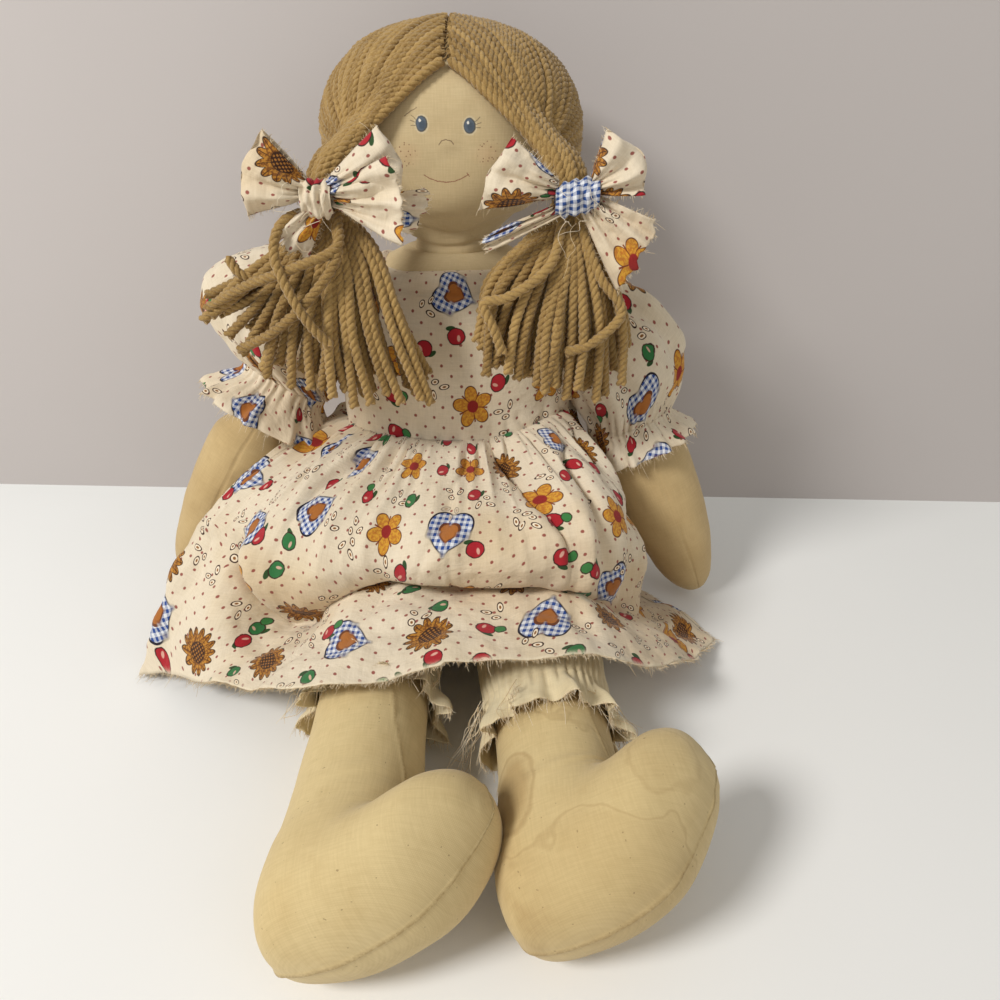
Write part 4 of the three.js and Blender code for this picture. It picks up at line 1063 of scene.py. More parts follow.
def make_parting():
    """The thread that sews the yarn down along the parting: one slanted stitch after another."""
    line = parting_line(2.6)
    stitches = []
    for here, there in zip(line[:-1], line[1:]):
        away = unit(here - HEAD_CENTRE)
        points = [here - X_AXIS * 2.2 + away * 1.6, here - X_AXIS * 0.9 + away * 1.5,
                  (here + there) / 2 + away * 0.6,
                  there + X_AXIS * 0.9 + away * 1.5, there + X_AXIS * 2.2 + away * 1.6]
        stitches.append(curve_through(points, 0.6))
    piece = thread_piece("parting_stitches", stitches, parting_thread, 0.4)
    finish_piece(piece, parting_thread, "head", ["parting_stitching"])


make_parting()

for side_name, side_sign in SIDES.items():
    make_hair(side_name, side_sign)
    make_pigtail(side_name, side_sign)
    make_tie(side_name)

# Motifs printed on the dress: each is a mask over local coordinates in metres
LARGE_CELL, LARGE_SHIFT, SMALL_CELL, LARGE_SIZE = 0.044, (3.3, 1.7, 0), 0.0190, 1.25


def turned(x, y, angle):
    c, s = angle.cosine(), angle.sine()
    return x * c + y * s, y * c - x * s


def cells(vector, size, shift, randomness):
    """Scattered spots: coordinates from the nearest one, three random numbers, and its own place."""
    tree = vector.tree
    moved = add_node(tree, "ShaderNodeVectorMath", operation="ADD")
    connect(tree, scaled(vector, 1 / size), moved.inputs[0])
    moved.inputs[1].default_value = shift
    node = add_node(tree, "ShaderNodeTexVoronoi", voronoi_dimensions="2D", feature="F1")
    tree.links.new(moved.outputs[0], node.inputs["Vector"])
    node.inputs["Scale"].default_value = 1.0
    node.inputs["Randomness"].default_value = randomness
    apart = add_node(tree, "ShaderNodeVectorMath", operation="SUBTRACT")
    tree.links.new(moved.outputs[0], apart.inputs[0])
    tree.links.new(node.outputs["Position"], apart.inputs[1])
    x, y, _ = parts_of(scaled(Wire(tree, apart.outputs[0]), size))
    chance = parts_of(Wire(tree, node.outputs["Color"]))
    back = add_node(tree, "ShaderNodeVectorMath", operation="SUBTRACT")
    tree.links.new(node.outputs["Position"], back.inputs[0])
    back.inputs[1].default_value = shift
    centre = scaled(Wire(tree, back.outputs[0]), size)
    return x, y, chance, centre


def inside(distance, edge, softness=0.00022):
    """1 where distance is less than edge."""
    return distance.between(edge + softness, edge - softness)


def chosen(value, low, high):
    """1 where a random number lies between two shares."""
    return value.math("GREATER_THAN", low) * value.math("LESS_THAN", high)


def heart_field(x, y, size):
    a, b = x / size, y / size
    ball = a * a + b * b - 1.0
    return ball * ball * ball - a * a * b * b * b


def pin_dots(tree, base, uv, pitch, radius, code):
    """Small dots in a diagonal grid."""
    u, v, _ = parts_of(uv)
    row = (u + v) * (0.7071 / pitch)
    column = (u - v) * (0.7071 / pitch)
    x = (row.math("FRACT") - 0.5) * pitch
    y = (column.math("FRACT") - 0.5) * pitch
    wobble = noise_wire(uv, 900, 1) * 0.0003
    return printed(tree, base, inside(length_of(x, y) + wobble, radius + 0.00015) * 0.9, code)


def checked(tree, u, v, rate, code):
    """Gingham: white, the colour, and half of it where a stripe crosses white."""
    stripes = [(along * rate).sine().math("GREATER_THAN", 0.0) for along in (u, v)]
    return mixed(tree, (stripes[0] + stripes[1]) * 0.5, linear("dfe1e4"), linear(code))


def large_motifs(tree, base, uv):
    """Sunflowers, gingham hearts and orange blossoms, each with an ink outline."""
    x, y, (kind, spin, _), _ = cells(uv, LARGE_CELL, LARGE_SHIFT, 0.6)
    x, y = turned(x * (1 / LARGE_SIZE), y * (1 / LARGE_SIZE), spin * TURN)
    reach = length_of(x, y)
    around = y.math("ARCTAN2", x)
    ink = noise_wire(uv, 700, 2)

    sunflower = chosen(kind, 0.0, 0.42)
    petals = (around * 6.5).sine().size() * 0.0027 + 0.0058
    shape = reach - petals
    base = printed(tree, base, inside(shape, 0.0006) * sunflower, "38200f")
    gold = mixed(tree, ink.between(0.42, 0.58), linear("b98030"), linear("7d4c1c"))
    base = mixed(tree, inside(shape, 0.0) * sunflower, base, gold)
    rays = (around * 6.5).cosine().size().between(0.2, 0.08) * inside(reach, 0.0084) * sunflower
    base = printed(tree, base, rays * inside(shape, 0.0), "4e2c14")
    base = printed(tree, base, inside(reach, 0.0040) * sunflower, "3d2313")
    seeds = ((x * 3300.0).sine() * (y * 3300.0).sine()).between(0.05, 0.4) * inside(reach, 0.0036) * sunflower
    base = printed(tree, base, seeds, "a06a2c")

    gingham = chosen(kind, 0.42, 0.74)

    def heart(size, edge):
        return heart_field(x, y - 0.001, size).between(edge, -edge) * gingham

    base = printed(tree, base, heart(0.0086, 0.03), "26202c")
    base = mixed(tree, heart(0.0080, 0.03), base, checked(tree, x, y, 2500.0, "26478c"))
    base = printed(tree, base, heart(0.0042, 0.06), "6b3a1c")
    base = printed(tree, base, heart(0.0034, 0.06), "a8672c")

    blossom = chosen(kind, 0.74, 1.0)
    lobes = (around * 2.5).cosine().size()
    petals = lobes * 0.0042 + 0.0038
    base = printed(tree, base, inside(reach - petals, 0.0005) * blossom, "55220f")
    orange = mixed(tree, ink.between(0.4, 0.6), linear("d19a34"), linear("b9762a"))
    base = mixed(tree, inside(reach - petals, 0.0) * blossom, base, orange)
    vein = inside(lobes * 0.004 - 0.0006, 0.0) * inside(reach, 0.0062)
    base = printed(tree, base, vein * blossom, "7c3a1c")
    base = printed(tree, base, inside(reach, 0.0024) * blossom, "8e2420")
    return base


def small_motifs(tree, base, uv):
    """Red and green berries and outlined seeds between the large motifs."""
    x, y, (kind, spin, tint), centre = cells(uv, SMALL_CELL, (0.4, 5.2, 0), 0.8)
    far_x, far_y, _, _ = cells(centre, LARGE_CELL, LARGE_SHIFT, 0.6)
    free = length_of(far_x, far_y).between(0.0142, 0.0146)
    x, y = turned(x, y, spin * TURN)
    berry = chosen(kind, 0.0, 0.42) * free
    edge = noise_wire(uv, 500, 1) * 0.0008
    one = length_of(x, y * 1.12) + edge
    leaf = length_of((x - 0.0026) / 0.0026, (y - 0.0040) / 0.0012)
    base = printed(tree, base, leaf.between(1.1, 0.9) * berry, "2c4a24")
    base = printed(tree, base, inside(one, 0.0051) * berry, "351512")
    fruit = mixed(tree, tint.math("GREATER_THAN", 0.62), linear("a8202a"), linear("2f6f3c"))
    base = mixed(tree, inside(one, 0.0045) * berry, base, fruit)
    shine = length_of((x + 0.0013) / 0.0008, (y + 0.0010) / 0.0016)
    base = printed(tree, base, shine.between(1.2, 0.7) * berry * 0.8, "e2b6a2")
    pair = chosen(kind, 0.30, 0.42) * free
    two = length_of(x - 0.0058, y + 0.0022) + edge
    base = printed(tree, base, inside(two, 0.0032) * pair, "351512")
    base = printed(tree, base, inside(two, 0.0027) * pair, "3b7a40")

    seed = chosen(kind, 0.42, 0.86) * free
    ovals = [length_of((x - place_x) / wide, (y - place_y) / high) for place_x, place_y, wide, high in (
        (0.0034, -0.0008, 0.0026, 0.0013), (-0.0030, 0.0020, 0.0014, 0.0026),
        (-0.0008, -0.0042, 0.0021, 0.0014))]
    nearest = ovals[0].smaller(ovals[1]).smaller(ovals[2])
    for outer, inner, code in ((1.16, 1.02, "3b2016"), (0.84, 0.72, "f0e0c6"), (0.45, 0.3, "8a5a2a")):
        base = printed(tree, base, nearest.between(outer, inner) * seed, code)
    return base


def print_cloth(name):
    """The dress cloth: a yellowed ground with pin dots, large motifs and small ones between them."""
    material, tree, shader = new_material(name, 0.88, 0.15)
    uv = uv_wire(tree)
    place = object_wire(tree)
    yellowed = noise_wire(place, 16, 3).between(0.45, 0.75)
    base = mixed(tree, yellowed * 0.45, linear("e0d2ba"), linear("cdb68c"))
    stain = noise_wire(scaled(place, 1.3), 9, 3, 0.55).between(0.5, 0.62)
    base = printed(tree, base, stain * 0.3, "c8a878")
    base = pin_dots(tree, base, uv, 0.0072, 0.00078, "8a332b")
    base = large_motifs(tree, base, uv)
    base = small_motifs(tree, base, uv)
    worn = attribute_wire(tree, "raw_edge") * noise_wire(uv, 900, 2).between(0.25, 0.5)
    base = printed(tree, base, worn * 0.9, "e3d5b9")
    normal = woven(tree, shader, base, uv, 1900, 0.0001)
    creases = noise_wire(uv, 1, 3, 0.6, (70, 130, 1))
    fine = noise_wire(uv, 1, 3, 0.65, (420, 420, 1))
    bumped(tree, shader, creases + fine * 0.25, 0.0012, 0.7, normal)
    return material


print_calico = print_cloth("print_calico")


def make_gingham():
    """Blue and white check for the strip that knots one bow."""
    material, tree, shader = new_material("gingham", 0.88, 0.12)
    uv = uv_wire(tree)
    u, v, _ = parts_of(uv)
    woven(tree, shader, checked(tree, u, v, 1900.0, "2b4a86"), uv, 1900, 0.0001)
    return material


gingham_cloth = make_gingham()
bloomer_cloth = muslin_cloth("bloomer_muslin", "e2d4b0", "bfa473", 0.4)
arm_cloth = muslin_cloth("arm_muslin", "c5ab7c", "a18251", 0.35)


# Skirt: the same rows and hem as the model's, with many fine gathers at the waist
SKIRT_ROWS = [
    (0, 0, 1), (0.06, 0.2, 0.99), (0.2, 0.6, 0.94), (0.36, 0.85, 0.86), (0.5, 1, 0.7), (0.575, 1, 0.43),
    (0.6, 0.55, 0.2), (0.625, -0.2, 0.06), (0.66, -0.8, 0), (0.76, -0.4, 0.01), (0.88, -0.1, 0.015),
    (1, 0, 0),
]
PLAIN_ROWS = [(0, 1), (0.12, 0.985), (0.3, 0.93), (0.5, 0.8), (0.68, 0.6), (0.85, 0.33), (1, 0)]
HEM_RIGHT = [(0, -1.04, 1), (0.355, -1.07, 0.88), (0.66, -0.865, 0.38), (0.9, -0.715, 0.11),
             (1, -0.655, 0.01), (0.72, -0.3, 0), (0.56, 0.12, 0), (0.34, 0.9, 0), (0, 1, 0)]
HEM_LEFT = [(0, -1.03, 1), (0.42, -1, 1), (0.72, -0.88, 0.62), (0.93, -0.66, 0.2), (1, -0.46, 0),
            (0.66, -0.1, 0), (0.56, 0.25, 0), (0.36, 0.9, 0), (0, 1, 0)]
WAIST_Z, WAIST_Y, WAIST_A, WAIST_B = 102, 11.84, 57.6, 36.96
FRONT_REACH, BACK_REACH, HEM_RIGHT_REACH, HEM_LEFT_REACH, HEM_LOW, HEM_HIGH = 154, 50, 159, 134, 1.75, 61
LEG_CLEAR, LEG_TOP = 31, 57
BILLOW, WAIST_EASE, SIDE_DROP, SIDE_REACH, SIDE_HUG, TORSO_POWER = 14, 3.5, 3.2, math.pi * 0.18, 0.3, 2.3
SIDE_SEAM = 0.004


def hem_points(angles):
    """Where the hem lies at each angle from straight ahead, positive to the doll's left."""
    out = np.zeros((len(angles), 3))
    wrapped = from_ahead(angles)
    for side, shares, reach in ((-1, HEM_RIGHT, HEM_RIGHT_REACH), (1, HEM_LEFT, HEM_LEFT_REACH)):
        rows = []
        for k, (across, along, rise) in enumerate(shares):
            y = WAIST_Y + along * (FRONT_REACH if along < 0 else BACK_REACH)
            rows.append((k / 8, side * reach * across, y, HEM_LOW + (HEM_HIGH - HEM_LOW) * rise))
        mine = (wrapped < 0) if side < 0 else (wrapped >= 0)
        if mine.any():
            out[mine] = through(rows, np.abs(wrapped[mine]) / math.pi)
    out[:, 2] = np.maximum(out[:, 2], HEM_LOW)
    return out


def ring_noise(around, rate, out, rate_out, cell_z, seed):
    """Noise that runs round the skirt and down it."""
    level = np.zeros_like(around)
    return soft_noise(np.stack([around * rate, out * rate_out + level, level + cell_z], 2), 1.0, seed)


def skirt_folds(out, around, wrapped, plain):
    """Large folds that wander, and the gathers that fade out below the waist, in millimetres."""
    warp = ring_noise(around, 3, out, 3, 0, 12) * 0.16
    big = np.cos((around + warp) * 9 + 0.4) * 2.6 + np.cos((around + warp * 1.6) * 19 + 1.1) * 1.5
    big = big * np.minimum(1, out * 5) * (0.3 + 0.7 * (1 - out ** 4)) * (1 - 0.55 * plain)
    fine_warp = ring_noise(around, 9, out, 2, 5, 4) * 0.07
    uneven = 0.7 + 0.5 * ring_noise(around, 5, out, 0, 0, 15)
    pleat = np.abs(np.sin((around + fine_warp) * 31)) ** 0.8
    gather = (0.5 - pleat) * 7.4 * uneven * np.exp(-out / 0.19) * np.minimum(1, 0.3 + out * 14)
    long_fold = np.abs(np.sin((around + fine_warp * 1.5) * 13 + 0.5)) ** 1.5 - 0.4
    gather = gather - long_fold * 5.6 * uneven * np.exp(-((out - 0.22) / 0.2) ** 2) * (1 - 0.5 * plain)
    valley = (1 - np.abs(np.sin((around + warp * 1.3) * 7.5 + 0.6))) ** 3
    valley = valley * smooth_step(-0.75, 0.1, wrapped)[None]
    gather = gather - valley * 10.0 * uneven * np.exp(-((out - 0.3) / 0.22) ** 2) * (1 - plain)
    return big, gather


def waist_points(across, ahead):
    """The torso's outline at the waist, eased out by the gathered seam."""
    return np.stack([
        np.sign(across) * np.abs(across) ** (2 / TORSO_POWER) * (WAIST_A + WAIST_EASE),
        WAIST_Y - np.sign(ahead) * np.abs(ahead) ** (2 / TORSO_POWER) * (WAIST_B + WAIST_EASE),
        np.full(len(across), float(WAIST_Z)),
    ], 1)


def skirt_grid(start, end, columns, rows):
    angles = np.linspace(start, end, columns)
    third = rows // 3
    out = np.concatenate([np.linspace(0, 0.5, third, endpoint=False),
                          np.linspace(0.5, 0.7, third, endpoint=False),
                          np.linspace(0.7, 1, rows - 2 * third)])
    fine = np.linspace(0, 1, 500)
    shares = through(SKIRT_ROWS, fine)
    plain_up = through(PLAIN_ROWS, out)
    out = out[:, None]
    hem = hem_points(angles)
    across, ahead = np.sin(angles), np.cos(angles)
    begin = waist_points(across, ahead)
    outward = np.stack([across, -ahead, np.zeros(columns)], 1)
    wrapped = from_ahead(angles)
    from_side = np.abs(np.abs(wrapped) - math.pi / 2)
    full = smooth_step(SIDE_REACH / 2, SIDE_REACH * 1.5, from_side)
    # The billow's edge lies higher to the doll's right of the middle
    early = np.exp(-((wrapped + 0.26) / 0.27) ** 2)[None]
    sooner = out + (0.13 * early - 0.02) * np.sin(np.minimum(out * 1.1, 1) * math.pi)
    billow = np.interp(sooner, fine, shares[:, 0])
    up = np.clip(np.interp(sooner, fine, shares[:, 1]), 0, 1)
    # Over the doll's right knee the cloth is spread flat to a corner that lies before the arm
    plain = (smooth_step(0.74, 0.98, -wrapped) * (1 - smooth_step(1.6, 1.84, -wrapped)))[None]
    fullness = np.where(ahead > 0, 0.15 + 0.85 * full, 0.15)[None] * (1 - plain)
    fullness = fullness * (1 - 0.25 * smooth_step(0.3, 0.75, -wrapped))[None]
    fullness = fullness * (1 - 0.5 * smooth_step(0.45, 0.9, wrapped))[None]
    drop = (SIDE_DROP * (1 - smooth_step(0, SIDE_REACH, from_side)))[None] * (1 - plain)
    share = out ** (1 + drop * SIDE_HUG)
    grid = begin[None] * (1 - share[..., None]) + hem[None] * share[..., None]
    rise = up ** (1 + drop) * (1 - plain) + plain_up * plain
    grid[..., 2] = hem[None, :, 2] + (WAIST_Z - hem[None, :, 2]) * rise
    grid[..., 1] -= plain * 9 * np.sin(np.minimum(out * 1.6, 1) * math.pi)
    grid[..., 0] -= plain * 5 * np.sin(out * math.pi)
    # The corner where the spread cloth turns under the billow
    corner = np.exp(-((wrapped[None] + 0.82) / 0.12) ** 2 - ((out - 0.56) / 0.05) ** 2)
    grid += corner[..., None] * np.array([-8.0, -3.0, -3.0])
    around = np.broadcast_to(angles[None], grid.shape[:2])
    big, gather = skirt_folds(out, around, wrapped, plain)
    grid = grid + outward[None] * (BILLOW * billow * fullness + big + gather)[..., None]
    grid[..., 2] += (big * 0.6 + gather * 0.7) * np.minimum(1, out * 8)
    # Small creases over all of it, and a hem that waves
    crumple = cloudy(grid, 24, 3, 4) * (0.6 + 1.3 * smooth_step(0.3, 0.7, out))
    tuck = soft_noise(grid * np.array([0.45, 1.0, 1.0]), 13, 8) * 1.8 * smooth_step(0.4, 0.6, out)
    grid = grid + grid_normals(grid, False) * -(crumple + tuck * (1 - smooth_step(0.8, 0.97, out)))[..., None]
    wave = np.cos(around * 15 + 2 * ring_noise(around, 4, out, 0, 0, 21))
    grid[..., 2] += wave * 1.1 * smooth_step(0.8, 1.0, out) * (hem[None, :, 2] > 8)
    grid[..., 2] = np.maximum(grid[..., 2], HEM_LOW)
    return slanted_waist(over_legs(grid))


def over_legs(grid):
    """Lifts the cloth where it would sink into the bloomers' legs."""
    for name in SIDES:
        turn, place = hip_turn(name)
        axis = turn @ -Y_AXIS
        away = grid - place
        along = away @ axis
        beside = away @ unit(np.cross(axis, Z_AXIS))
        low = place[2] + along * axis[2] + np.sqrt(np.maximum(LEG_CLEAR ** 2 - beside ** 2, 0))
        low = np.minimum(low, LEG_TOP)
        mine = (np.abs(beside) < LEG_CLEAR) & (along > 6) & (grid[..., 2] > 6)
        grid[..., 2] = np.where(mine, np.maximum(grid[..., 2], low), grid[..., 2])
    return grid


def slanted_waist(grid):
    """The dress is pulled up a little at the doll's left side of the waist."""
    grid[..., 2] += 8.0 * smooth_step(8, 60, grid[..., 0]) * np.exp(-((grid[..., 2] - 101) / 20) ** 2)
    return grid


def cloth_measure(grid):
    """Cloth coordinates in metres: gathered at the top, and as the cloth lies lower down."""
    rows, columns = grid.shape[:2]
    steps = np.linalg.norm(np.diff(grid, axis=1), axis=2)
    along = np.concatenate([np.zeros((rows, 1)), np.cumsum(steps, axis=1)], axis=1)
    along -= along[:, columns // 2][:, None]
    share = smooth_step(0.25, 0.75, np.linspace(0, 1, rows))[:, None]
    u = along[int(rows * 0.85)][None] * (1 - share) + along * share
    u = u - u[:, columns // 2][:, None]
    down = np.linalg.norm(np.diff(grid, axis=0), axis=2)
    v = np.concatenate([np.zeros((1, columns)), np.cumsum(down, axis=0)])
    smooth = np.array([np.convolve(np.pad(row, 12, mode="edge"), np.ones(25) / 25, "valid") for row in v])
    v = smooth * 0.75 + v.mean(axis=1, keepdims=True) * 0.25
    return np.stack([u, v], axis=2) * MM


def frayed_edge(name, edge, outward, length, count, seed, droop=0.0):
    """Loose threads along an edge of torn or raw cloth."""
    chance = random.Random(seed)
    edge = np.asarray(edge)
    steps = np.concatenate([[0], np.cumsum(np.linalg.norm(np.diff(edge, axis=0), axis=1))])
    paths = []
    for _ in range(count):
        at = chance.uniform(0, steps[-1])
        base = np.array([np.interp(at, steps, edge[:, k]) for k in range(3)])
        out = np.array([np.interp(at, steps, outward[:, k]) for k in range(3)])
        reach = length * chance.uniform(0.25, 1.0) ** 1.5 * (2.4 if chance.random() < 0.06 else 1)
        side, bend = (drawn(chance, (-1, 1), (-1, 1), (-1, 1)) for _ in range(2))
        path = [base - out * 0.5]
        for t in (0.35, 0.7, 1.0):
            path.append(base + out * reach * t + side * reach * 0.35 * t + bend * reach * 0.4 * t * t
                        + np.array([0, 0, -droop * reach * t * t]))
        paths.append(np.maximum(curve_through(path, max(0.5, reach / 7)), np.array([-1e9, -1e9, 0.3])))
    return thread_piece(name, paths, fray_cotton, 0.1)


def mark_raw_edge(piece, grid, reach=1.6):
    """Marks the last millimetres before a torn edge, where the print has worn off."""
    steps = np.linalg.norm(np.diff(grid, axis=0), axis=2)
    left = np.concatenate([np.cumsum(steps[::-1], axis=0)[::-1], np.zeros((1, grid.shape[1]))])
    values = np.exp(-(left / reach) ** 2).ravel()
    filled = np.zeros(len(piece.data.vertices), np.float32)
    filled[:len(values)] = values
    piece.data.attributes.new("raw_edge", "FLOAT", "POINT").data.foreach_set("value", filled)


def edge_directions(grid):
    """Which way the cloth runs as it leaves its last row."""
    return unit(grid[-1] - grid[-4])


def make_skirt():
    half = math.pi / 2
    for name, start, end, columns, rows, threads, flat in (
        ("skirt_front", -half * (1 - SIDE_SEAM), half * (1 - SIDE_SEAM), 412, 114, 1600, (0.42, 0.165)),
        ("skirt_back", half * (1 + SIDE_SEAM), TURN - half * (1 + SIDE_SEAM), 280, 96, 700, (0.30, 0.13)),
    ):
        grid = skirt_grid(start, end, columns, rows)
        piece = grid_piece(f"{name}_cloth", grid, cloth_measure(grid))
        mark_raw_edge(piece, grid)
        thicken(piece, CLOTH)
        finish_piece(piece, print_calico, "torso", [name])
        ways = unit(edge_directions(grid) + np.array([0, 0, 0.3]))
        fringe = frayed_edge(f"{name}_fray", grid[-1], ways, 2.6, threads, 21, 0.1)
        finish_piece(fringe, fray_cotton, "torso")


make_skirt()


# Torso, head and arms: stuffed muslin
TORSO_SHARES = [
    (0, 0.62, 0.6, 0), (0.03, 0.84, 0.82, 0), (0.1, 0.97, 0.96, 0.02), (0.24, 1, 1, 0.08),
    (0.42, 0.93, 0.9, 0.2), (0.54, 0.9, 0.84, 0.32), (0.7, 0.93, 0.83, 0.55), (0.83, 0.93, 0.77, 0.75),
    (0.9, 0.86, 0.69, 0.86), (0.955, 0.68, 0.56, 0.94), (1, 0.4, 0.44, 1),
]
TORSO_LOW, TORSO_HIGH, TORSO_WIDE, TORSO_DEEP, TORSO_Y, TORSO_LEAN = 1.75, 188, 64, 44, 8, 12


def torso_at(heights, offset=0.0):
    """Half width, half depth and middle of the torso at each height."""
    up = np.clip((np.asarray(heights, float) - TORSO_LOW) / (TORSO_HIGH - TORSO_LOW), 0, 1)
    table = np.array(TORSO_SHARES)
    wide = TORSO_WIDE * np.interp(up, table[:, 0], table[:, 1]) + offset
    deep = TORSO_DEEP * np.interp(up, table[:, 0], table[:, 2]) + offset
    return wide, deep, TORSO_Y + TORSO_LEAN * np.interp(up, table[:, 0], table[:, 3])


def torso_grid(heights, angles, offset):
    """Rows round the torso; the angle is counted from straight ahead to the doll's left."""
    wide, deep, middle = torso_at(heights, offset)
    s, c = np.sin(angles)[None], np.cos(angles)[None]
    x = np.sign(s) * np.abs(s) ** (2 / TORSO_POWER) * wide[:, None]
    y = middle[:, None] - np.sign(c) * np.abs(c) ** (2 / TORSO_POWER) * deep[:, None]
    return np.stack([x, y, np.broadcast_to(np.asarray(heights, float)[:, None], x.shape)], 2)


face_cloth = muslin_cloth("face_muslin", "cdb88f", "b79a6c", 0.3)


def make_torso():
    angles = full_turn(128)
    heights = np.concatenate([np.linspace(40, 176, 60), np.linspace(178, 188, 10)])
    grid = torso_grid(heights, angles, -0.6)
    grid = grid + grid_normals(grid, True) * (cloudy(grid, 30, 4, 2) * 0.5)[..., None]
    piece = grid_piece("torso_skin", grid, wrapped=True, start_cap=True, end_cap=True)
    finish_piece(piece, face_cloth, "torso", ["torso"])


def make_neck_roll():
    """The soft roll of muslin round the foot of the neck."""
    around, tube = full_turn(96), full_turn(24)
    s, c = np.sin(around)[:, None], np.cos(around)[:, None]
    fat = 6.6 + soft_noise(on_circle(around, 10), 6, 8)[:, None] * 0.7
    x = s * (24 + fat * np.cos(tube)[None])
    y = NECK_Y - c * (18 + fat * np.cos(tube)[None])
    z = 177.5 + fat * np.sin(tube)[None] * 1.1 - np.abs(s) * 2.5
    rolled = np.stack([x, y, z], 2)
    piece = grid_piece("neck_roll", np.concatenate([rolled, rolled[:1]]), wrapped=True)
    finish_piece(piece, face_cloth, "torso")


make_torso()
make_neck_roll()


# Face, painted on the head: every mark is worked out from the place on the head, in metres
def brush_line(x, z, points, width, softness=0.00018):
    """A painted stroke through a few points given in millimetres."""
    nearest = None
    for (ax, az), (bx, bz) in zip(points[:-1], points[1:]):
        ax, az, bx, bz = ax * MM, az * MM, bx * MM, bz * MM
        dx, dz = bx - ax, bz - az
        along = ((x - ax) * dx + (z - az) * dz) / (dx * dx + dz * dz)
        along = along.larger(0.0).smaller(1.0)
        gap = length_of(x - ax - along * dx, z - az - along * dz)
        nearest = gap if nearest is None else nearest.smaller(gap)
    return inside(nearest, width * MM, softness)


def oval(x, z, place, wide, high, softness=0.08):
    """1 inside an ellipse given in millimetres."""
    across, up = (x - place[0] * MM) / (wide * MM), (z - place[1] * MM) / (high * MM)
    return length_of(across, up).between(1 + softness, 1 - softness)


def make_face():
    material, tree, shader = new_material("painted_face", 0.92, 0.12)
    place = object_wire(tree)
    x, y, z = parts_of(place)
    soft = noise_wire(place, 14, 4, 0.6).between(0.42, 0.75)
    fine = noise_wire(place, 90, 3, 0.6).between(0.45, 0.8)
    base = mixed(tree, soft * 0.28, linear("cdb990"), linear("b79a6c"))
    base = printed(tree, base, fine * 0.14, "b79a6c")
    front = y.between(0.030, 0.022)
    # The marks waver as a brush does
    x = x + (noise_wire(place, 700, 2) - 0.5) * 0.0006
    z = z + (noise_wire(scaled(place, 1.3), 610, 2) - 0.5) * 0.0006

    def paint(mask, code, share=1.0):
        nonlocal base
        base = printed(tree, base, mask * front * share, code)

    blush = length_of((x.size() - 0.0175) / 0.0085, (z - 0.2340) / 0.0062).between(1.0, 0.1)
    paint(blush, "c9906e", 0.16)
    dot_x, dot_z, (chance, _, _), _ = cells(joined(tree, x, z), 0.0019, (0.3, 0.8, 0), 1.0)
    dots = length_of(dot_x, dot_z).between(0.00036, 0.00018) * chance.math("GREATER_THAN", 0.3)
    patch = length_of((x.size() - 0.0182) / 0.0058, (z - 0.2343) / 0.0062).between(1.0, 0.7)
    paint(patch * dots, "7d5236", 0.8)
    for side, (ex, ez) in ((-1, (-10.7, 245.8)), (1, (10.0, 245.0))):
        paint(oval(x, z, (ex, ez), 3.15, 3.65, 0.14), "dccfb0", 0.6)
        paint(oval(x, z, (ex, ez), 2.6, 3.1), "2f3740", 0.9)
        paint(oval(x, z, (ex - 0.2, ez + 0.1), 2.15, 2.65, 0.16), "5f6b79", 0.95)
        paint(oval(x, z, (ex + 0.35, ez - 0.35), 1.45, 1.8, 0.3), "4a5561", 0.8)
        paint(oval(x, z, (ex - 0.75, ez + 1.25), 0.5, 0.62, 0.2), "efece2", 0.95)
        for dx, dz, tx, tz in ((2.5, 1.6, 4.4, 3.2), (2.8, 0.5, 4.9, 1.2), (2.7, -0.6, 4.6, -0.7)):
            lash = [(ex + side * dx, ez + dz), (ex + side * tx, ez + tz)]
            paint(brush_line(x, z, lash, 0.13), "4a3b30", 0.8)
    paint(brush_line(x, z, [(-18.0, 248.6), (-15.2, 250.6), (-12.6, 251.7)], 0.15), "5a4330", 0.8)
    nose = [(-3.3, 237.8), (-2.2, 239.4), (-0.1, 239.9), (2.0, 239.3), (3.0, 238.0)]
    paint(brush_line(x, z, nose, 0.17), "5f4434", 0.85)
    smile = [(-10.4, 225.8), (-8.0, 224.4), (-4.6, 223.3), (-0.8, 222.9), (3.2, 223.3), (6.6, 224.6),
             (9.0, 226.0)]
    paint(brush_line(x, z, smile, 0.17), "8a4b3a", 0.9)
    paint(brush_line(x, z, [(8.4, 226.7), (9.5, 225.2)], 0.15), "8a4b3a", 0.85)
    woven(tree, shader, base, uv_wire(tree))
    return material


def make_neck():
    """The muslin tube between the shoulders and the chin, with one soft crease."""
    rows = [(176, 27, 22, 21), (180, 23, 19.5, 20.5), (185, 20.6, 18, 20), (191, 20, 17.6, 19.6),
            (197, 21.5, 18.4, 20), (202, 24, 20, 21), (206, 20, 17, 22)]
    heights = np.linspace(176, 206, 50)
    shares = through(rows, heights)
    angles = full_turn(120)
    centre = np.stack([heights * 0, shares[:, 2], heights], 1)
    wide, deep = shares[:, :1], shares[:, 1:2]
    grid = ellipse_ring(centre[:, None], X_AXIS, Y_AXIS, wide, deep, angles[None], HEAD_POWER)
    ring = grid[..., 2] - 192.5 - grid[..., 0] * 0.06 + 1.5 * np.cos(grid[..., 0] / 8)
    lift = cloudy(grid, 18, 19, 3) * 0.7 - np.exp(-(ring / 1.3) ** 2) * 1.3
    grid = grid + grid_normals(grid, True) * lift[..., None]
    piece = grid_piece("neck_skin", grid, wrapped=True, start_cap=True, end_cap=True)
    finish_piece(piece, face_cloth, "torso", turns_with=("head", (0, 0.02, 0.181), (0, 0.02, 0.2)))


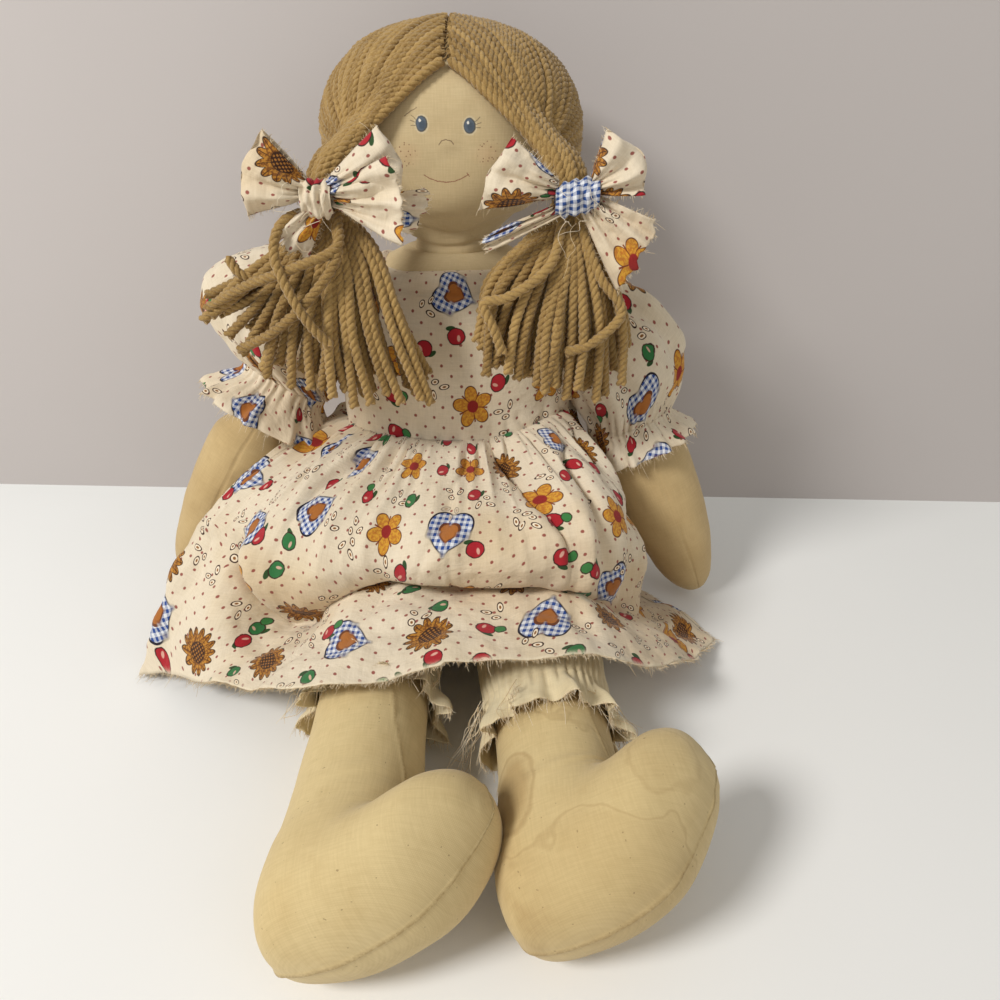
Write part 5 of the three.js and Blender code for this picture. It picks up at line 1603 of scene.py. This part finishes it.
def make_head():
    """The stuffed head: cheeks and chin a little full, and creases where the neck begins."""
    grid = head_grid(168, 116)
    x, z = grid[..., 0], grid[..., 2]
    ahead = smooth_step(0, -25, grid[..., 1] - HEAD_CENTRE[1])
    chin = np.exp(-((x / 16) ** 2 + ((z - 214) / 9) ** 2)) * 1.6
    cheeks = np.exp(-(((np.abs(x) - 22) / 12) ** 2 + ((z - 232) / 11) ** 2)) * 1.4
    nose = np.exp(-((x / 4.5) ** 2 + ((z - 238.5) / 4) ** 2)) * 0.9
    creases = -np.exp(-((z - 200.5 + 3.0 * np.cos(x / 9)) / 1.6) ** 2) * 1.2
    creases = creases - np.exp(-((z - 207 - x * 0.05) / 2.2) ** 2) * 0.7
    lift = (chin + cheeks + nose + creases) * ahead + cloudy(grid, 26, 13, 3) * 0.5
    grid = grid + grid_normals(grid, True) * lift[..., None]
    piece = grid_piece("head_skin", grid, wrapped=True, start_cap=True, end_cap=True)
    finish_piece(piece, make_face(), "head", ["head"])


make_neck()
make_head()


# Arms and sleeves
ARM_SHARES = [
    (0.01, 0.24, 0.62), (0.05, 0.5, 0.78), (0.13, 0.82, 0.94), (0.27, 1, 1), (0.42, 1, 1), (0.47, 0.97, 0.97),
    (0.53, 1.27, 1.14), (0.64, 1.29, 1.16), (0.76, 1.17, 1.08), (0.87, 0.97, 0.92), (0.945, 0.68, 0.66),
    (0.985, 0.34, 0.34), (1.0, 0.05, 0.05),
]
ARM_LENGTH, ARM_HALF, SHOULDER_X, SHOULDER_Y, SHOULDER_Z = 190, 18, 60, 19, 172
# How far each arm stands out, and how far both reach forward, in degrees
ARM_SPLAYS, ARM_TILT = {"right": 31.5, "left": 25}, 14


def arm_axes(name):
    """The arm's own directions: along it, across it and forward, and where its shoulder is."""
    side, tilt, out = SIDES[name], math.radians(ARM_TILT), math.radians(ARM_SPLAYS[name])
    flat = math.cos(tilt)
    along = np.array([side * math.sin(out) * flat, -math.sin(tilt), -math.cos(out) * flat])
    width = unit(np.cross(Y_AXIS, along))
    return along, width, unit(np.cross(along, width)), np.array([side * SHOULDER_X, SHOULDER_Y, SHOULDER_Z])


def make_arm(name, side):
    along, width, depth, shoulder = arm_axes(name)
    downs = np.concatenate([np.linspace(0.06, 0.9, 78), np.linspace(0.91, 1.0, 24)])
    shares = through(ARM_SHARES, downs)
    angles = full_turn(160)
    centre = shoulder + along * (ARM_LENGTH * downs)[:, None]
    a = (ARM_HALF * np.maximum(shares[:, 0], 0.03))[:, None]
    b = (ARM_HALF * np.maximum(shares[:, 1], 0.03))[:, None]
    grid = ellipse_ring(centre[:, None], width, depth, a, b, angles[None], LIMB_POWER)
    grid = grid + grid_normals(grid, True) * (cloudy(grid, 24, 3 + side, 3) * 0.6)[..., None]
    grid = seam_pinch(grid, angles, (math.pi * 1.5 - 0.15 * side,), 0.55, 0.024)
    body = f"arm_{name}"
    piece = grid_piece(f"{body}_skin", grid, wrapped=True, start_cap=True, end_cap=True)
    finish_piece(piece, arm_cloth, body, [body])


def make_elastic():
    """Flat elastic with ribs across it."""
    material, tree, shader = new_material("elastic_web", 0.8, 0.1)
    u, v, _ = parts_of(uv_wire(tree))
    ribs = (v * 7000.0).sine() * 0.5 + 0.5
    base = mixed(tree, ribs * 0.4, linear("e0dac9"), linear("bdb39c"))
    tree.links.new(base.socket, shader.inputs["Base Color"])
    bumped(tree, shader, ribs + (u * 3000.0).sine() * 0.3, 0.0003, 0.5)
    return material


elastic_web = make_elastic()


def make_band(node, body, centre, axis_a, axis_b, half_a, half_b):
    """An elastic band round a limb or the waist; centre is the middle of its width."""
    angles = full_turn(160)
    along = unit(np.cross(axis_a, axis_b))
    section = ((0, -1.4), (0.7, -1.4), (0.8, -0.5), (0.8, 0.5), (0.7, 1.4), (0, 1.4))
    rings = []
    for out, shift in section:
        middle = (centre + along * shift)[None]
        rings.append(ellipse_ring(middle, axis_a, axis_b, half_a + out, half_b + out, angles, LIMB_POWER))
    piece = grid_piece(f"{node}_web", np.array(rings), wrapped=True)
    finish_piece(piece, elastic_web, body, [node])


SLEEVE_SHARES = [
    (0, 0.7, 0.7, 0), (0.12, 0.86, 0.86, 0.15), (0.3, 0.98, 0.98, 0.45), (0.5, 1, 1, 0.75),
    (0.7, 0.96, 0.97, 0.95), (0.87, 0.8, 0.84, 1), (1.0, 0.68, 0.68, 1),
]
# Each sleeve's half width and length, how far it bulges out and up, and its ruffle's length and spread
SLEEVE_DEEP, GATHER, ARM_ELASTIC = 32, 21.6, 18.4
SLEEVES = {"right": (35, 60, 27, 12, 22, 15), "left": (32, 82, 14, 3, 16, 8)}


def make_sleeve(name, side):
    along, width, depth, shoulder = arm_axes(name)
    puff, length, bulge, lift, ruffle, spread = SLEEVES[name]
    sideways = X_AXIS * side
    top = np.array([-side * puff * 0.2, 0, -puff * 0.44])
    gather = along * length
    angles = full_turn(224)
    warp = soft_noise(on_circle(angles, 12), 5, 6) * 0.1
    pleats = np.abs(np.sin((angles + warp) * 17)) ** 0.8 - 0.55
    folds = np.cos((angles + warp * 2) * 7 + side) + 0.5 * np.cos((angles + warp) * 12 + 2)
    rings = []
    # The puff turns from facing sideways at the shoulder to facing along the arm at the gather
    downs = np.linspace(0, 1, 76)
    for down, (wide, deep, turn) in zip(downs, through(SLEEVE_SHARES, downs)):
        facing = unit(sideways * (1 - turn) + along * turn)
        axis_a = unit(np.cross(Y_AXIS, facing))
        axis_b = unit(np.cross(facing, axis_a))
        centre = shoulder + top * (1 - down) + gather * down
        centre = centre + (sideways * bulge + Z_AXIS * lift) * math.sin(down * math.pi)
        near_end = smooth_step(0.72, 1.0, down)
        near_top = 1 - smooth_step(0.0, 0.16, down)
        swell = folds * 1.3 * (0.35 + math.sin(down * math.pi)) + pleats * 2.4 * (near_end + near_top * 0.8)
        half_a, half_b = puff * wide + swell, SLEEVE_DEEP * deep + swell
        rings.append(ellipse_ring(centre[None], axis_a, axis_b, half_a, half_b, angles, 2.0))
    waves = np.cos((angles + warp) * 14 + 0.7) * 2.0 + np.cos((angles + warp) * 23) * 0.9
    for down in np.linspace(0, 1, 26):
        centre = shoulder + along * (length + ruffle * down)
        flare = smooth_step(0.12, 1.0, down)
        radius = GATHER + 0.2 + spread * flare + (waves * flare + pleats * 1.6 * (1 - flare))
        rings.append(ellipse_ring(centre[None], width, depth, radius, radius, angles, LIMB_POWER))
    grid = np.array(rings)
    share = np.linspace(0, 1, len(grid))[:, None]
    crumple = cloudy(grid, 17, 7 + side, 3) * 1.3 * np.minimum(1, share * 6)
    grid = grid + grid_normals(grid, True) * crumple[..., None]
    piece = grid_piece(f"sleeve_{name}_cloth", grid, wrapped=True)
    thicken(piece, CLOTH)
    body = f"arm_{name}"
    finish_piece(piece, print_calico, body, [f"sleeve_{name}"])
    fringe = frayed_edge(f"sleeve_{name}_fray", grid[-1], edge_directions(grid), 2.8, 380, 31 + side, 0.1)
    finish_piece(fringe, fray_cotton, body)
    middle = shoulder + along * (length + 2)
    make_band(f"sleeve_elastic_{name}", body, middle, width, depth, ARM_ELASTIC, ARM_ELASTIC)


for side_name, side_sign in SIDES.items():
    make_arm(side_name, side_sign)
    make_sleeve(side_name, side_sign)


# Bodice: the front and two back panels, with a fold of cloth along the straight neckline
NECKLINE, NECK_HALF, BODICE_LOW, BODICE_HIGH = 180, 36, 97.5, 186.5


def bodice_wrinkles(grid):
    """Soft folds: some drawn down from the sleeves, and gathers above the waist."""
    z, x = grid[..., 2], grid[..., 0]
    low = np.exp(-((z - 98) / 13) ** 2)
    gathers = (np.abs(np.sin(x * 0.36 + soft_noise(grid, 11, 2) * 1.2)) ** 0.8 - 0.5) * 2.2 * low
    slanted = np.stack([x * 0.5 + z * 0.35, grid[..., 1] * 0.5, z * 0.2 - x * 0.12], -1)
    return gathers + cloudy(grid, 22, 11, 3) * 1.1 + soft_noise(slanted, 5.5, 9) * 0.8


def bodice_panel(name, start, end, columns):
    heights = np.linspace(BODICE_LOW, BODICE_HIGH, 112)
    angles = np.linspace(start, end, columns)
    grid = torso_grid(heights[::-1], angles, 2.0)
    # The neckline: rows above it are folded down level with it inside its width
    x = grid[..., 0]
    within = smooth_step(NECK_HALF + 3, NECK_HALF - 3, np.abs(x))
    wave = soft_noise(np.stack([x, x * 0, x * 0], -1), 13, 3) * 0.9 + np.cos(x * 0.09) * 0.5
    limit = (NECKLINE + wave) * within + 190 * (1 - within)
    grid[..., 2] = np.where(grid[..., 2] > limit, limit + (grid[..., 2] - limit) * 0.02, grid[..., 2])
    edge = np.exp(-((NECKLINE - 2.2 - grid[..., 2]) / 2.4) ** 2) * within * 1.9
    tuck = -np.exp(-((NECKLINE - 7.6 - grid[..., 2]) / 1.0) ** 2) * within * 1.5
    lift = bodice_wrinkles(grid) * np.minimum(1, (190 - grid[..., 2]) / 16) * 0.8 + 0.9 + edge + tuck
    grid = slanted_waist(grid - grid_normals(grid, False) * lift[..., None])
    piece = grid_piece(f"{name}_cloth", grid)
    thicken(piece, CLOTH, 1.0)
    finish_piece(piece, print_calico, "torso", [name])
    return piece


def make_bodice():
    half, gap = math.pi / 2, 0.01
    for name, start, end, columns, flat in (
        ("bodice_front", -half, half, 180, (0.17, 0.1)),
        ("bodice_back_right", math.pi + gap, math.pi * 1.5, 76, (0.085, 0.09)),
        ("bodice_back_left", half, math.pi - gap, 76, (0.085, 0.09)),
    ):
        bodice_panel(name, start, end, columns)


make_bodice()


# Bloomers: the seat round the torso, and the legs with their frayed frills
BLOOMER_LENGTHS, FRILL, LEG_ELASTIC = {"right": 106, "left": 122}, 18, 24.0
BLOOMER_WIDE, BLOOMER_GATHER, BLOOMER_TOP, WAIST_ELASTIC_Z = 28.3, 26.2, 54.0, 94.8


def frill_wave(angles, seed):
    """The waves of a frill round the leg, and how far its gathers wander."""
    warp = soft_noise(on_circle(angles, 9, seed), 6, seed) * 0.12
    return np.cos((angles + warp) * 10) * 3.2 + np.cos((angles + warp * 1.7) * 19 + 1) * 1.6, warp


def make_bloomer_leg(name, side):
    turn, place = hip_turn(name)
    length = BLOOMER_LENGTHS[name]
    gather = length - FRILL
    angles = full_turn(220)
    wave, warp = frill_wave(angles, 3 if side > 0 else 5)
    pleats = np.abs(np.sin((angles + warp) * 19)) ** 0.8 - 0.5
    folds = np.cos((angles + warp * 2) * 8) * 0.8
    rings = []
    for down in np.concatenate([np.linspace(-14, gather, 60), np.linspace(gather + 0.6, length, 32)]):
        if down <= gather:
            share = smooth_step(gather * 0.66, gather, down)
            base = BLOOMER_WIDE + (BLOOMER_GATHER - BLOOMER_WIDE) * share
            swell = folds * (1 - share) + pleats * 1.9 * share
            radius = base + 1.2 * math.sin(min(1, max(0, down / gather)) * math.pi) + swell
        else:
            share = (down - gather) / (length - gather)
            flare = smooth_step(0.1, 1.0, share)
            radius = BLOOMER_GATHER + 0.4 + 2.6 * flare + wave * 1.15 * flare + pleats * 1.7 * (1 - flare)
        centre = np.array([[0, -down, 0.0]])
        rings.append(ellipse_ring(centre, X_AXIS, Z_AXIS, radius, radius, angles, LIMB_POWER))
    grid = np.array(rings)
    rim = wave * 0.5 + soft_noise(grid[-1], 7, 5) * 1.2
    grid[-12:, :, 1] -= rim[None] * np.linspace(0, 1, 12)[:, None]
    grid = grid + grid_normals(grid, True) * cloudy(grid, 16, 17 + side, 3)[..., None]
    grid = grid @ turn.T + place
    # The skirt presses the part under it flat
    under_skirt = smooth_step(-148, -138, grid[..., 1])
    high = np.maximum(grid[..., 2] - BLOOMER_TOP, 0) * under_skirt
    grid[..., 2] = np.maximum(grid[..., 2] - high * 0.7, 0.5)
    piece = grid_piece(f"bloomer_leg_{name}_cloth", grid, wrapped=True)
    thicken(piece, CLOTH)
    node, body = f"bloomer_leg_{name}", f"leg_{name}"
    finish_piece(piece, bloomer_cloth, body, [node])
    fringe = frayed_edge(f"{node}_fray", grid[-1], edge_directions(grid), 4.5, 560, 51 + side, 0.1)
    finish_piece(fringe, fray_cotton, body)
    middle = place + turn @ np.array([0, -gather - 1, 0])
    make_band(f"bloomer_elastic_{name}", body, middle, turn @ X_AXIS, turn @ Z_AXIS, LEG_ELASTIC, LEG_ELASTIC)


def make_seat():
    """The seat of the bloomers round the foot of the torso, gathered under the waist elastic."""
    heights = np.linspace(90, 6, 46)
    angles = full_turn(160)
    grid = torso_grid(heights, angles, 1.6)
    folds = np.cos(angles * 17 + 2 * np.sin(angles * 3)) * 0.9 + np.cos(angles * 29) * 0.4
    share = np.exp(-((heights - 90) / 22) ** 2)[:, None]
    grid = grid - grid_normals(grid, True) * (folds[None] * share + cloudy(grid, 20, 23, 3) * 0.8)[..., None]
    foot = grid[-1]
    middle = foot.mean(axis=0)
    under = [middle + (foot - middle) * np.array([t, t, 1]) + np.array([0, 0, lower])
             for t, lower in ((0.97, -2.6), (0.9, -4.4), (0.75, -5.2), (0.45, -5.4), (0.1, -5.4))]
    grid = np.concatenate([grid, np.array(under)])
    grid[..., 2] = np.maximum(grid[..., 2], 0.5)
    piece = grid_piece("bloomers_seat_cloth", grid, wrapped=True)
    thicken(piece, CLOTH, 1.0)
    finish_piece(piece, bloomer_cloth, "torso", ["bloomers_seat"])
    wide, deep, middle_y = torso_at([WAIST_ELASTIC_Z], 0.4)
    make_band("bloomers_waist_elastic", "torso", np.array([0, float(middle_y[0]), WAIST_ELASTIC_Z]), X_AXIS,
              Y_AXIS, float(wide[0]), float(deep[0]))


make_seat()
for side_name, side_sign in SIDES.items():
    make_bloomer_leg(side_name, side_sign)


def ravelled_threads(name, body, spots, seed):
    """Long threads that hang in tangles from a torn frill: start, end and number of threads."""
    chance = random.Random(seed)
    paths = []
    for start, end, count in spots:
        for _ in range(count):
            begin = np.array(start, float) + drawn(chance, (-2.5, 2.5), (-2.5, 2.5), (-2.5, 2.5))
            finish = np.array(end, float) + drawn(chance, (-5, 5), (-5, 5), (-2, 3))
            points = [begin]
            for t in (0.25, 0.5, 0.75, 1.0):
                drift = np.array([chance.uniform(-3.2, 3.2) for _ in range(3)])
                points.append(begin * (1 - t) + finish * t + drift)
            path = curve_through(points, 1.0)
            path[:, 2] = np.maximum(path[:, 2], 0.5)
            paths.append(path)
    piece = thread_piece(name, paths, fray_cotton, 0.16)
    finish_piece(piece, fray_cotton, body)


ravelled_threads("bloomer_leg_left_threads", "leg_left", [
    ((16, -146, 38), (6, -158, 8), 9), ((15, -144, 30), (4, -154, 3), 6), ((66, -147, 40), (80, -150, 22), 8),
    ((60, -150, 50), (76, -158, 34), 6), ((30, -152, 57), (26, -166, 53), 5)], 71)
ravelled_threads("bloomer_leg_right_threads", "leg_right", [
    ((-20, -128, 56), (-14, -146, 52), 8), ((-8, -128, 45), (-2, -142, 22), 8),
    ((-62, -128, 38), (-72, -138, 20), 7), ((-40, -130, 58), (-36, -147, 53), 6)], 73)


def make_nickel():
    """Pressed metal of the snaps, with fine scratches and a little tarnish."""
    material, tree, shader = new_material("snap_nickel", 0.35)
    place = object_wire(tree)
    shader.inputs["Metallic"].default_value = 1.0
    worn = noise_wire(place, 900, 3, 0.6).between(0.45, 0.75)
    base = mixed(tree, worn * 0.5, linear("c3c1bc"), linear("8b867c"))
    tree.links.new(base.socket, shader.inputs["Base Color"])
    bumped(tree, shader, noise_wire(place, 1800, 2), 0.0001, 0.4)
    return material


snap_nickel = make_nickel()
for snap in ("back_snap_upper", "back_snap_lower"):
    nodes[snap].data.materials.clear()
    nodes[snap].data.materials.append(snap_nickel)


# Bows: loops and torn tails on each side of the knot. Each has its top and bottom at the knot, then
# three points down its outer edge, all as X and height in millimetres, then how far it leans
# forward at its end, how full its loop is and its seed.
KNOT_Y, KNOT_HALF, STRIP_WIDTH = -41.85, 5.5, 34.0
BOWS = {
    "right": [
        ("loop", (-54, 227), (-56, 221), (-70, 247), (-80, 232), (-81, 215), 4, 6, 1),
        ("loop", (-48, 228), (-47, 221), (-25, 248), (-17, 234), (-19, 213), 2, 6, 2),
        ("tail", (-46, 225), (-44, 217), (-22, 238), (-15, 222), (-18, 205), 11, 2, 3),
        ("tail", (-46, 221), (-46, 218), (-7, 225), (-8, 217), (-15, 207), -1, 1, 4),
        ("tail", (-56, 219), (-50, 216), (-67, 212), (-68, 204), (-57, 199), 5, 2, 9),
    ],
    "left": [
        ("loop", (47, 228), (46, 221), (28, 244), (19, 232), (14, 217), 4, 6, 5),
        ("loop", (60, 229), (61, 223), (65, 247), (80, 237), (81, 223), 3, 6, 6),
        ("tail", (48, 220), (51, 216), (19, 209), (17, 206), (19, 202), 7, 2, 7),
        ("tail", (64, 222), (56, 217), (87, 214), (82, 200), (72, 186), 8, 3, 8),
    ],
}


def bow_strip(kind, knot_top, knot_bottom, outer, lean, puff, seed):
    """Rows of points from the knot out; a loop comes back behind itself."""
    w = np.linspace(0, 1, 44)
    near = np.array([[knot_top[0], 0, knot_top[1]], [knot_bottom[0], 0, knot_bottom[1]]], float)
    near = near[0] * (1 - w[:, None]) + near[1] * w[:, None]
    spots = np.array([[k / 2, x, 0, z] for k, (x, z) in enumerate(outer)], float)
    far = through(spots, w)
    middle_out = unit((far - near).mean(axis=0))
    bulge = np.sin(w * math.pi) ** 0.8
    if kind == "loop":
        turns = np.linspace(0, 1, 76)
        along = ((1 - np.cos(turns * TURN)) / 2) ** 0.85
        depth = np.sin(turns * TURN) * puff
    else:
        turns = np.linspace(0, 1, 42)
        along = turns
        depth = puff * np.sin(turns * math.pi * 0.9) + 1.0
    noise = soft_noise(np.stack([w * 5, w * 0 + seed * 3.1, w * 0], 1), 1.0, seed)
    folds = np.cos((w + noise * 0.07) * TURN * 2.2 + seed * 1.7) * 2.4 + noise * 2.0
    fine = np.cos((w + noise * 0.05) * TURN * 6 + seed) * 1.1
    rows = []
    for t, s_out, d in zip(turns, along, depth):
        spot = near * (1 - s_out) + far * s_out
        layer = folds * (0.35 + 0.65 * s_out) * (1 - 0.35 * s_out) + fine * (1 - s_out) ** 2
        toward = -(d * (0.45 + 0.55 * bulge)) - layer * (1 if t < 0.5 or kind == "tail" else -0.5)
        spot[:, 1] += toward - lean * s_out ** 1.3
        rows.append(spot)
    grid = np.array(rows)
    rough = cloudy(grid + seed * 40, 12, seed, 3)
    grid[..., 1] += rough * 1.5 * np.minimum(1, along * 3)[:, None]
    grid += middle_out * (soft_noise(grid + seed * 9, 6, seed + 3) * 0.9 * (along ** 3)[:, None])[..., None]
    if kind == "tail":
        ragged = soft_noise(np.stack([w * 14, w * 0, w * 0 + seed], 1), 1.0, seed) * 1.8
        grid += middle_out * (ragged[None, :] * smooth_step(0.8, 1.0, along)[:, None])[..., None]
    return grid


def loose_threads(name, spots, seed, body):
    """A few long ravelled threads that curl out of a knot."""
    chance = random.Random(seed)
    paths = []
    for x, y, z, reach in spots:
        path = [np.array([x, y, z], float)]
        heading = np.array([chance.uniform(-1, 1), -0.5, chance.uniform(-1, 0.4)])
        for _ in range(6):
            heading = heading + drawn(chance, (-1.1, 1.1), (-0.5, 0.3), (-1.3, 0.7))
            heading = heading / np.linalg.norm(heading)
            path.append(path[-1] + heading * reach / 6)
        paths.append(curve_through(path, 0.8))
    piece = thread_piece(name, paths, fray_cotton, 0.12)
    finish_piece(piece, fray_cotton, body)


def make_bow(name):
    for k, (kind, top, bottom, high, outer, low, lean, puff, seed) in enumerate(BOWS[name]):
        grid = bow_strip(kind, top, bottom, (high, outer, low), lean, puff, seed) + np.array([0, KNOT_Y, 0])
        down = np.linalg.norm(np.diff(grid, axis=0), axis=2).mean(axis=1)
        v = np.concatenate([[0], np.cumsum(down)])
        uv = np.zeros(grid.shape[:2] + (2,))
        uv[..., 0] = np.linspace(0, STRIP_WIDTH, grid.shape[1])[None] + seed * 37
        uv[..., 1] = v[:, None] + seed * 11
        piece = grid_piece(f"bow_{name}_{kind}_{k}", grid, uv * MM)
        thicken(piece, CLOTH, 0.0)
        # An outer loop or tail lies on the pigtail; such a piece keeps its place and is attached to no body
        ends = [(x * MM, KNOT_Y * MM, z * MM) for x, z in (top, outer)]
        follows = (f"pigtail_{name}", *ends) if abs(outer[0]) > 60 else None
        finish_piece(piece, print_calico, "head", [f"bow_{name}"] if k == 0 else (), follows)
        edges = [grid[:, 0], grid[:, -1][::-1]]
        ways = [unit(grid[:, 0] - grid[:, 3]), unit(grid[:, -1] - grid[:, -4])[::-1]]
        if kind == "tail":
            edges.insert(1, grid[-1])
            ways.insert(1, edge_directions(grid))
        edges, ways = np.concatenate(edges), np.concatenate(ways)
        fringe = frayed_edge(f"bow_{name}_{kind}_{k}_fray", edges, ways, 2.2, 150, 60 + seed)
        finish_piece(fringe, fray_cotton, "head", turns_with=follows)


def make_knot(name, side):
    """The strip knotted round the middle of a bow; the left one is wider and lies aslant."""
    middle = np.array([side * KNOT_X, KNOT_Y, KNOT_Z])
    around = full_turn(120)
    across = np.linspace(-KNOT_HALF - 0.8, KNOT_HALF + 0.8, 30)
    bulge = 1 - (across / (KNOT_HALF + 2.2)) ** 2
    level = np.zeros((30, 120))
    spots = np.stack([across[:, None] * 0.6 + level, around[None] * 2 + level, level], 2)
    ridges = np.cos(across * 1.9 + side)[:, None] * 0.5 + soft_noise(spots, 1.0, 4) * 1.1
    radius = 4.3 + 2.6 * bulge[:, None] + ridges
    x = across[:, None] + level
    grid = np.stack([x, np.cos(around)[None] * radius, np.sin(around)[None] * radius * 1.05], 2) + middle
    if name == "left":
        grid = grid + (grid - middle) * np.array([0.4, 0, -0.1]) + np.array([2.5, 0, 0])
        grid[..., 2] += (grid[..., 0] - middle[0]) * 0.22
    piece = grid_piece(f"bow_knot_{name}_cloth", grid, wrapped=True)
    thicken(piece, 0.4, 0.0)
    cloth = gingham_cloth if name == "left" else print_calico
    finish_piece(piece, cloth, "head", [f"bow_knot_{name}"])


# Where the knots' loose threads start, beside and above the knot's middle, and how long they are
KNOT_THREADS = ((-6, 6, 16), (5, 5, 20), (-4, -7, 22), (4, -7, 18), (-7, -3, 14), (7, 0, 15), (0, -8, 26))
for side_name, side_sign in SIDES.items():
    make_bow(side_name)
    make_knot(side_name, side_sign)
    x = side_sign * (KNOT_X + 2)
    spots = [(x + dx, KNOT_Y - 9, KNOT_Z + dz, reach) for dx, dz, reach in KNOT_THREADS]
    loose_threads(f"bow_{side_name}_threads", spots, 90 + side_sign, "head")
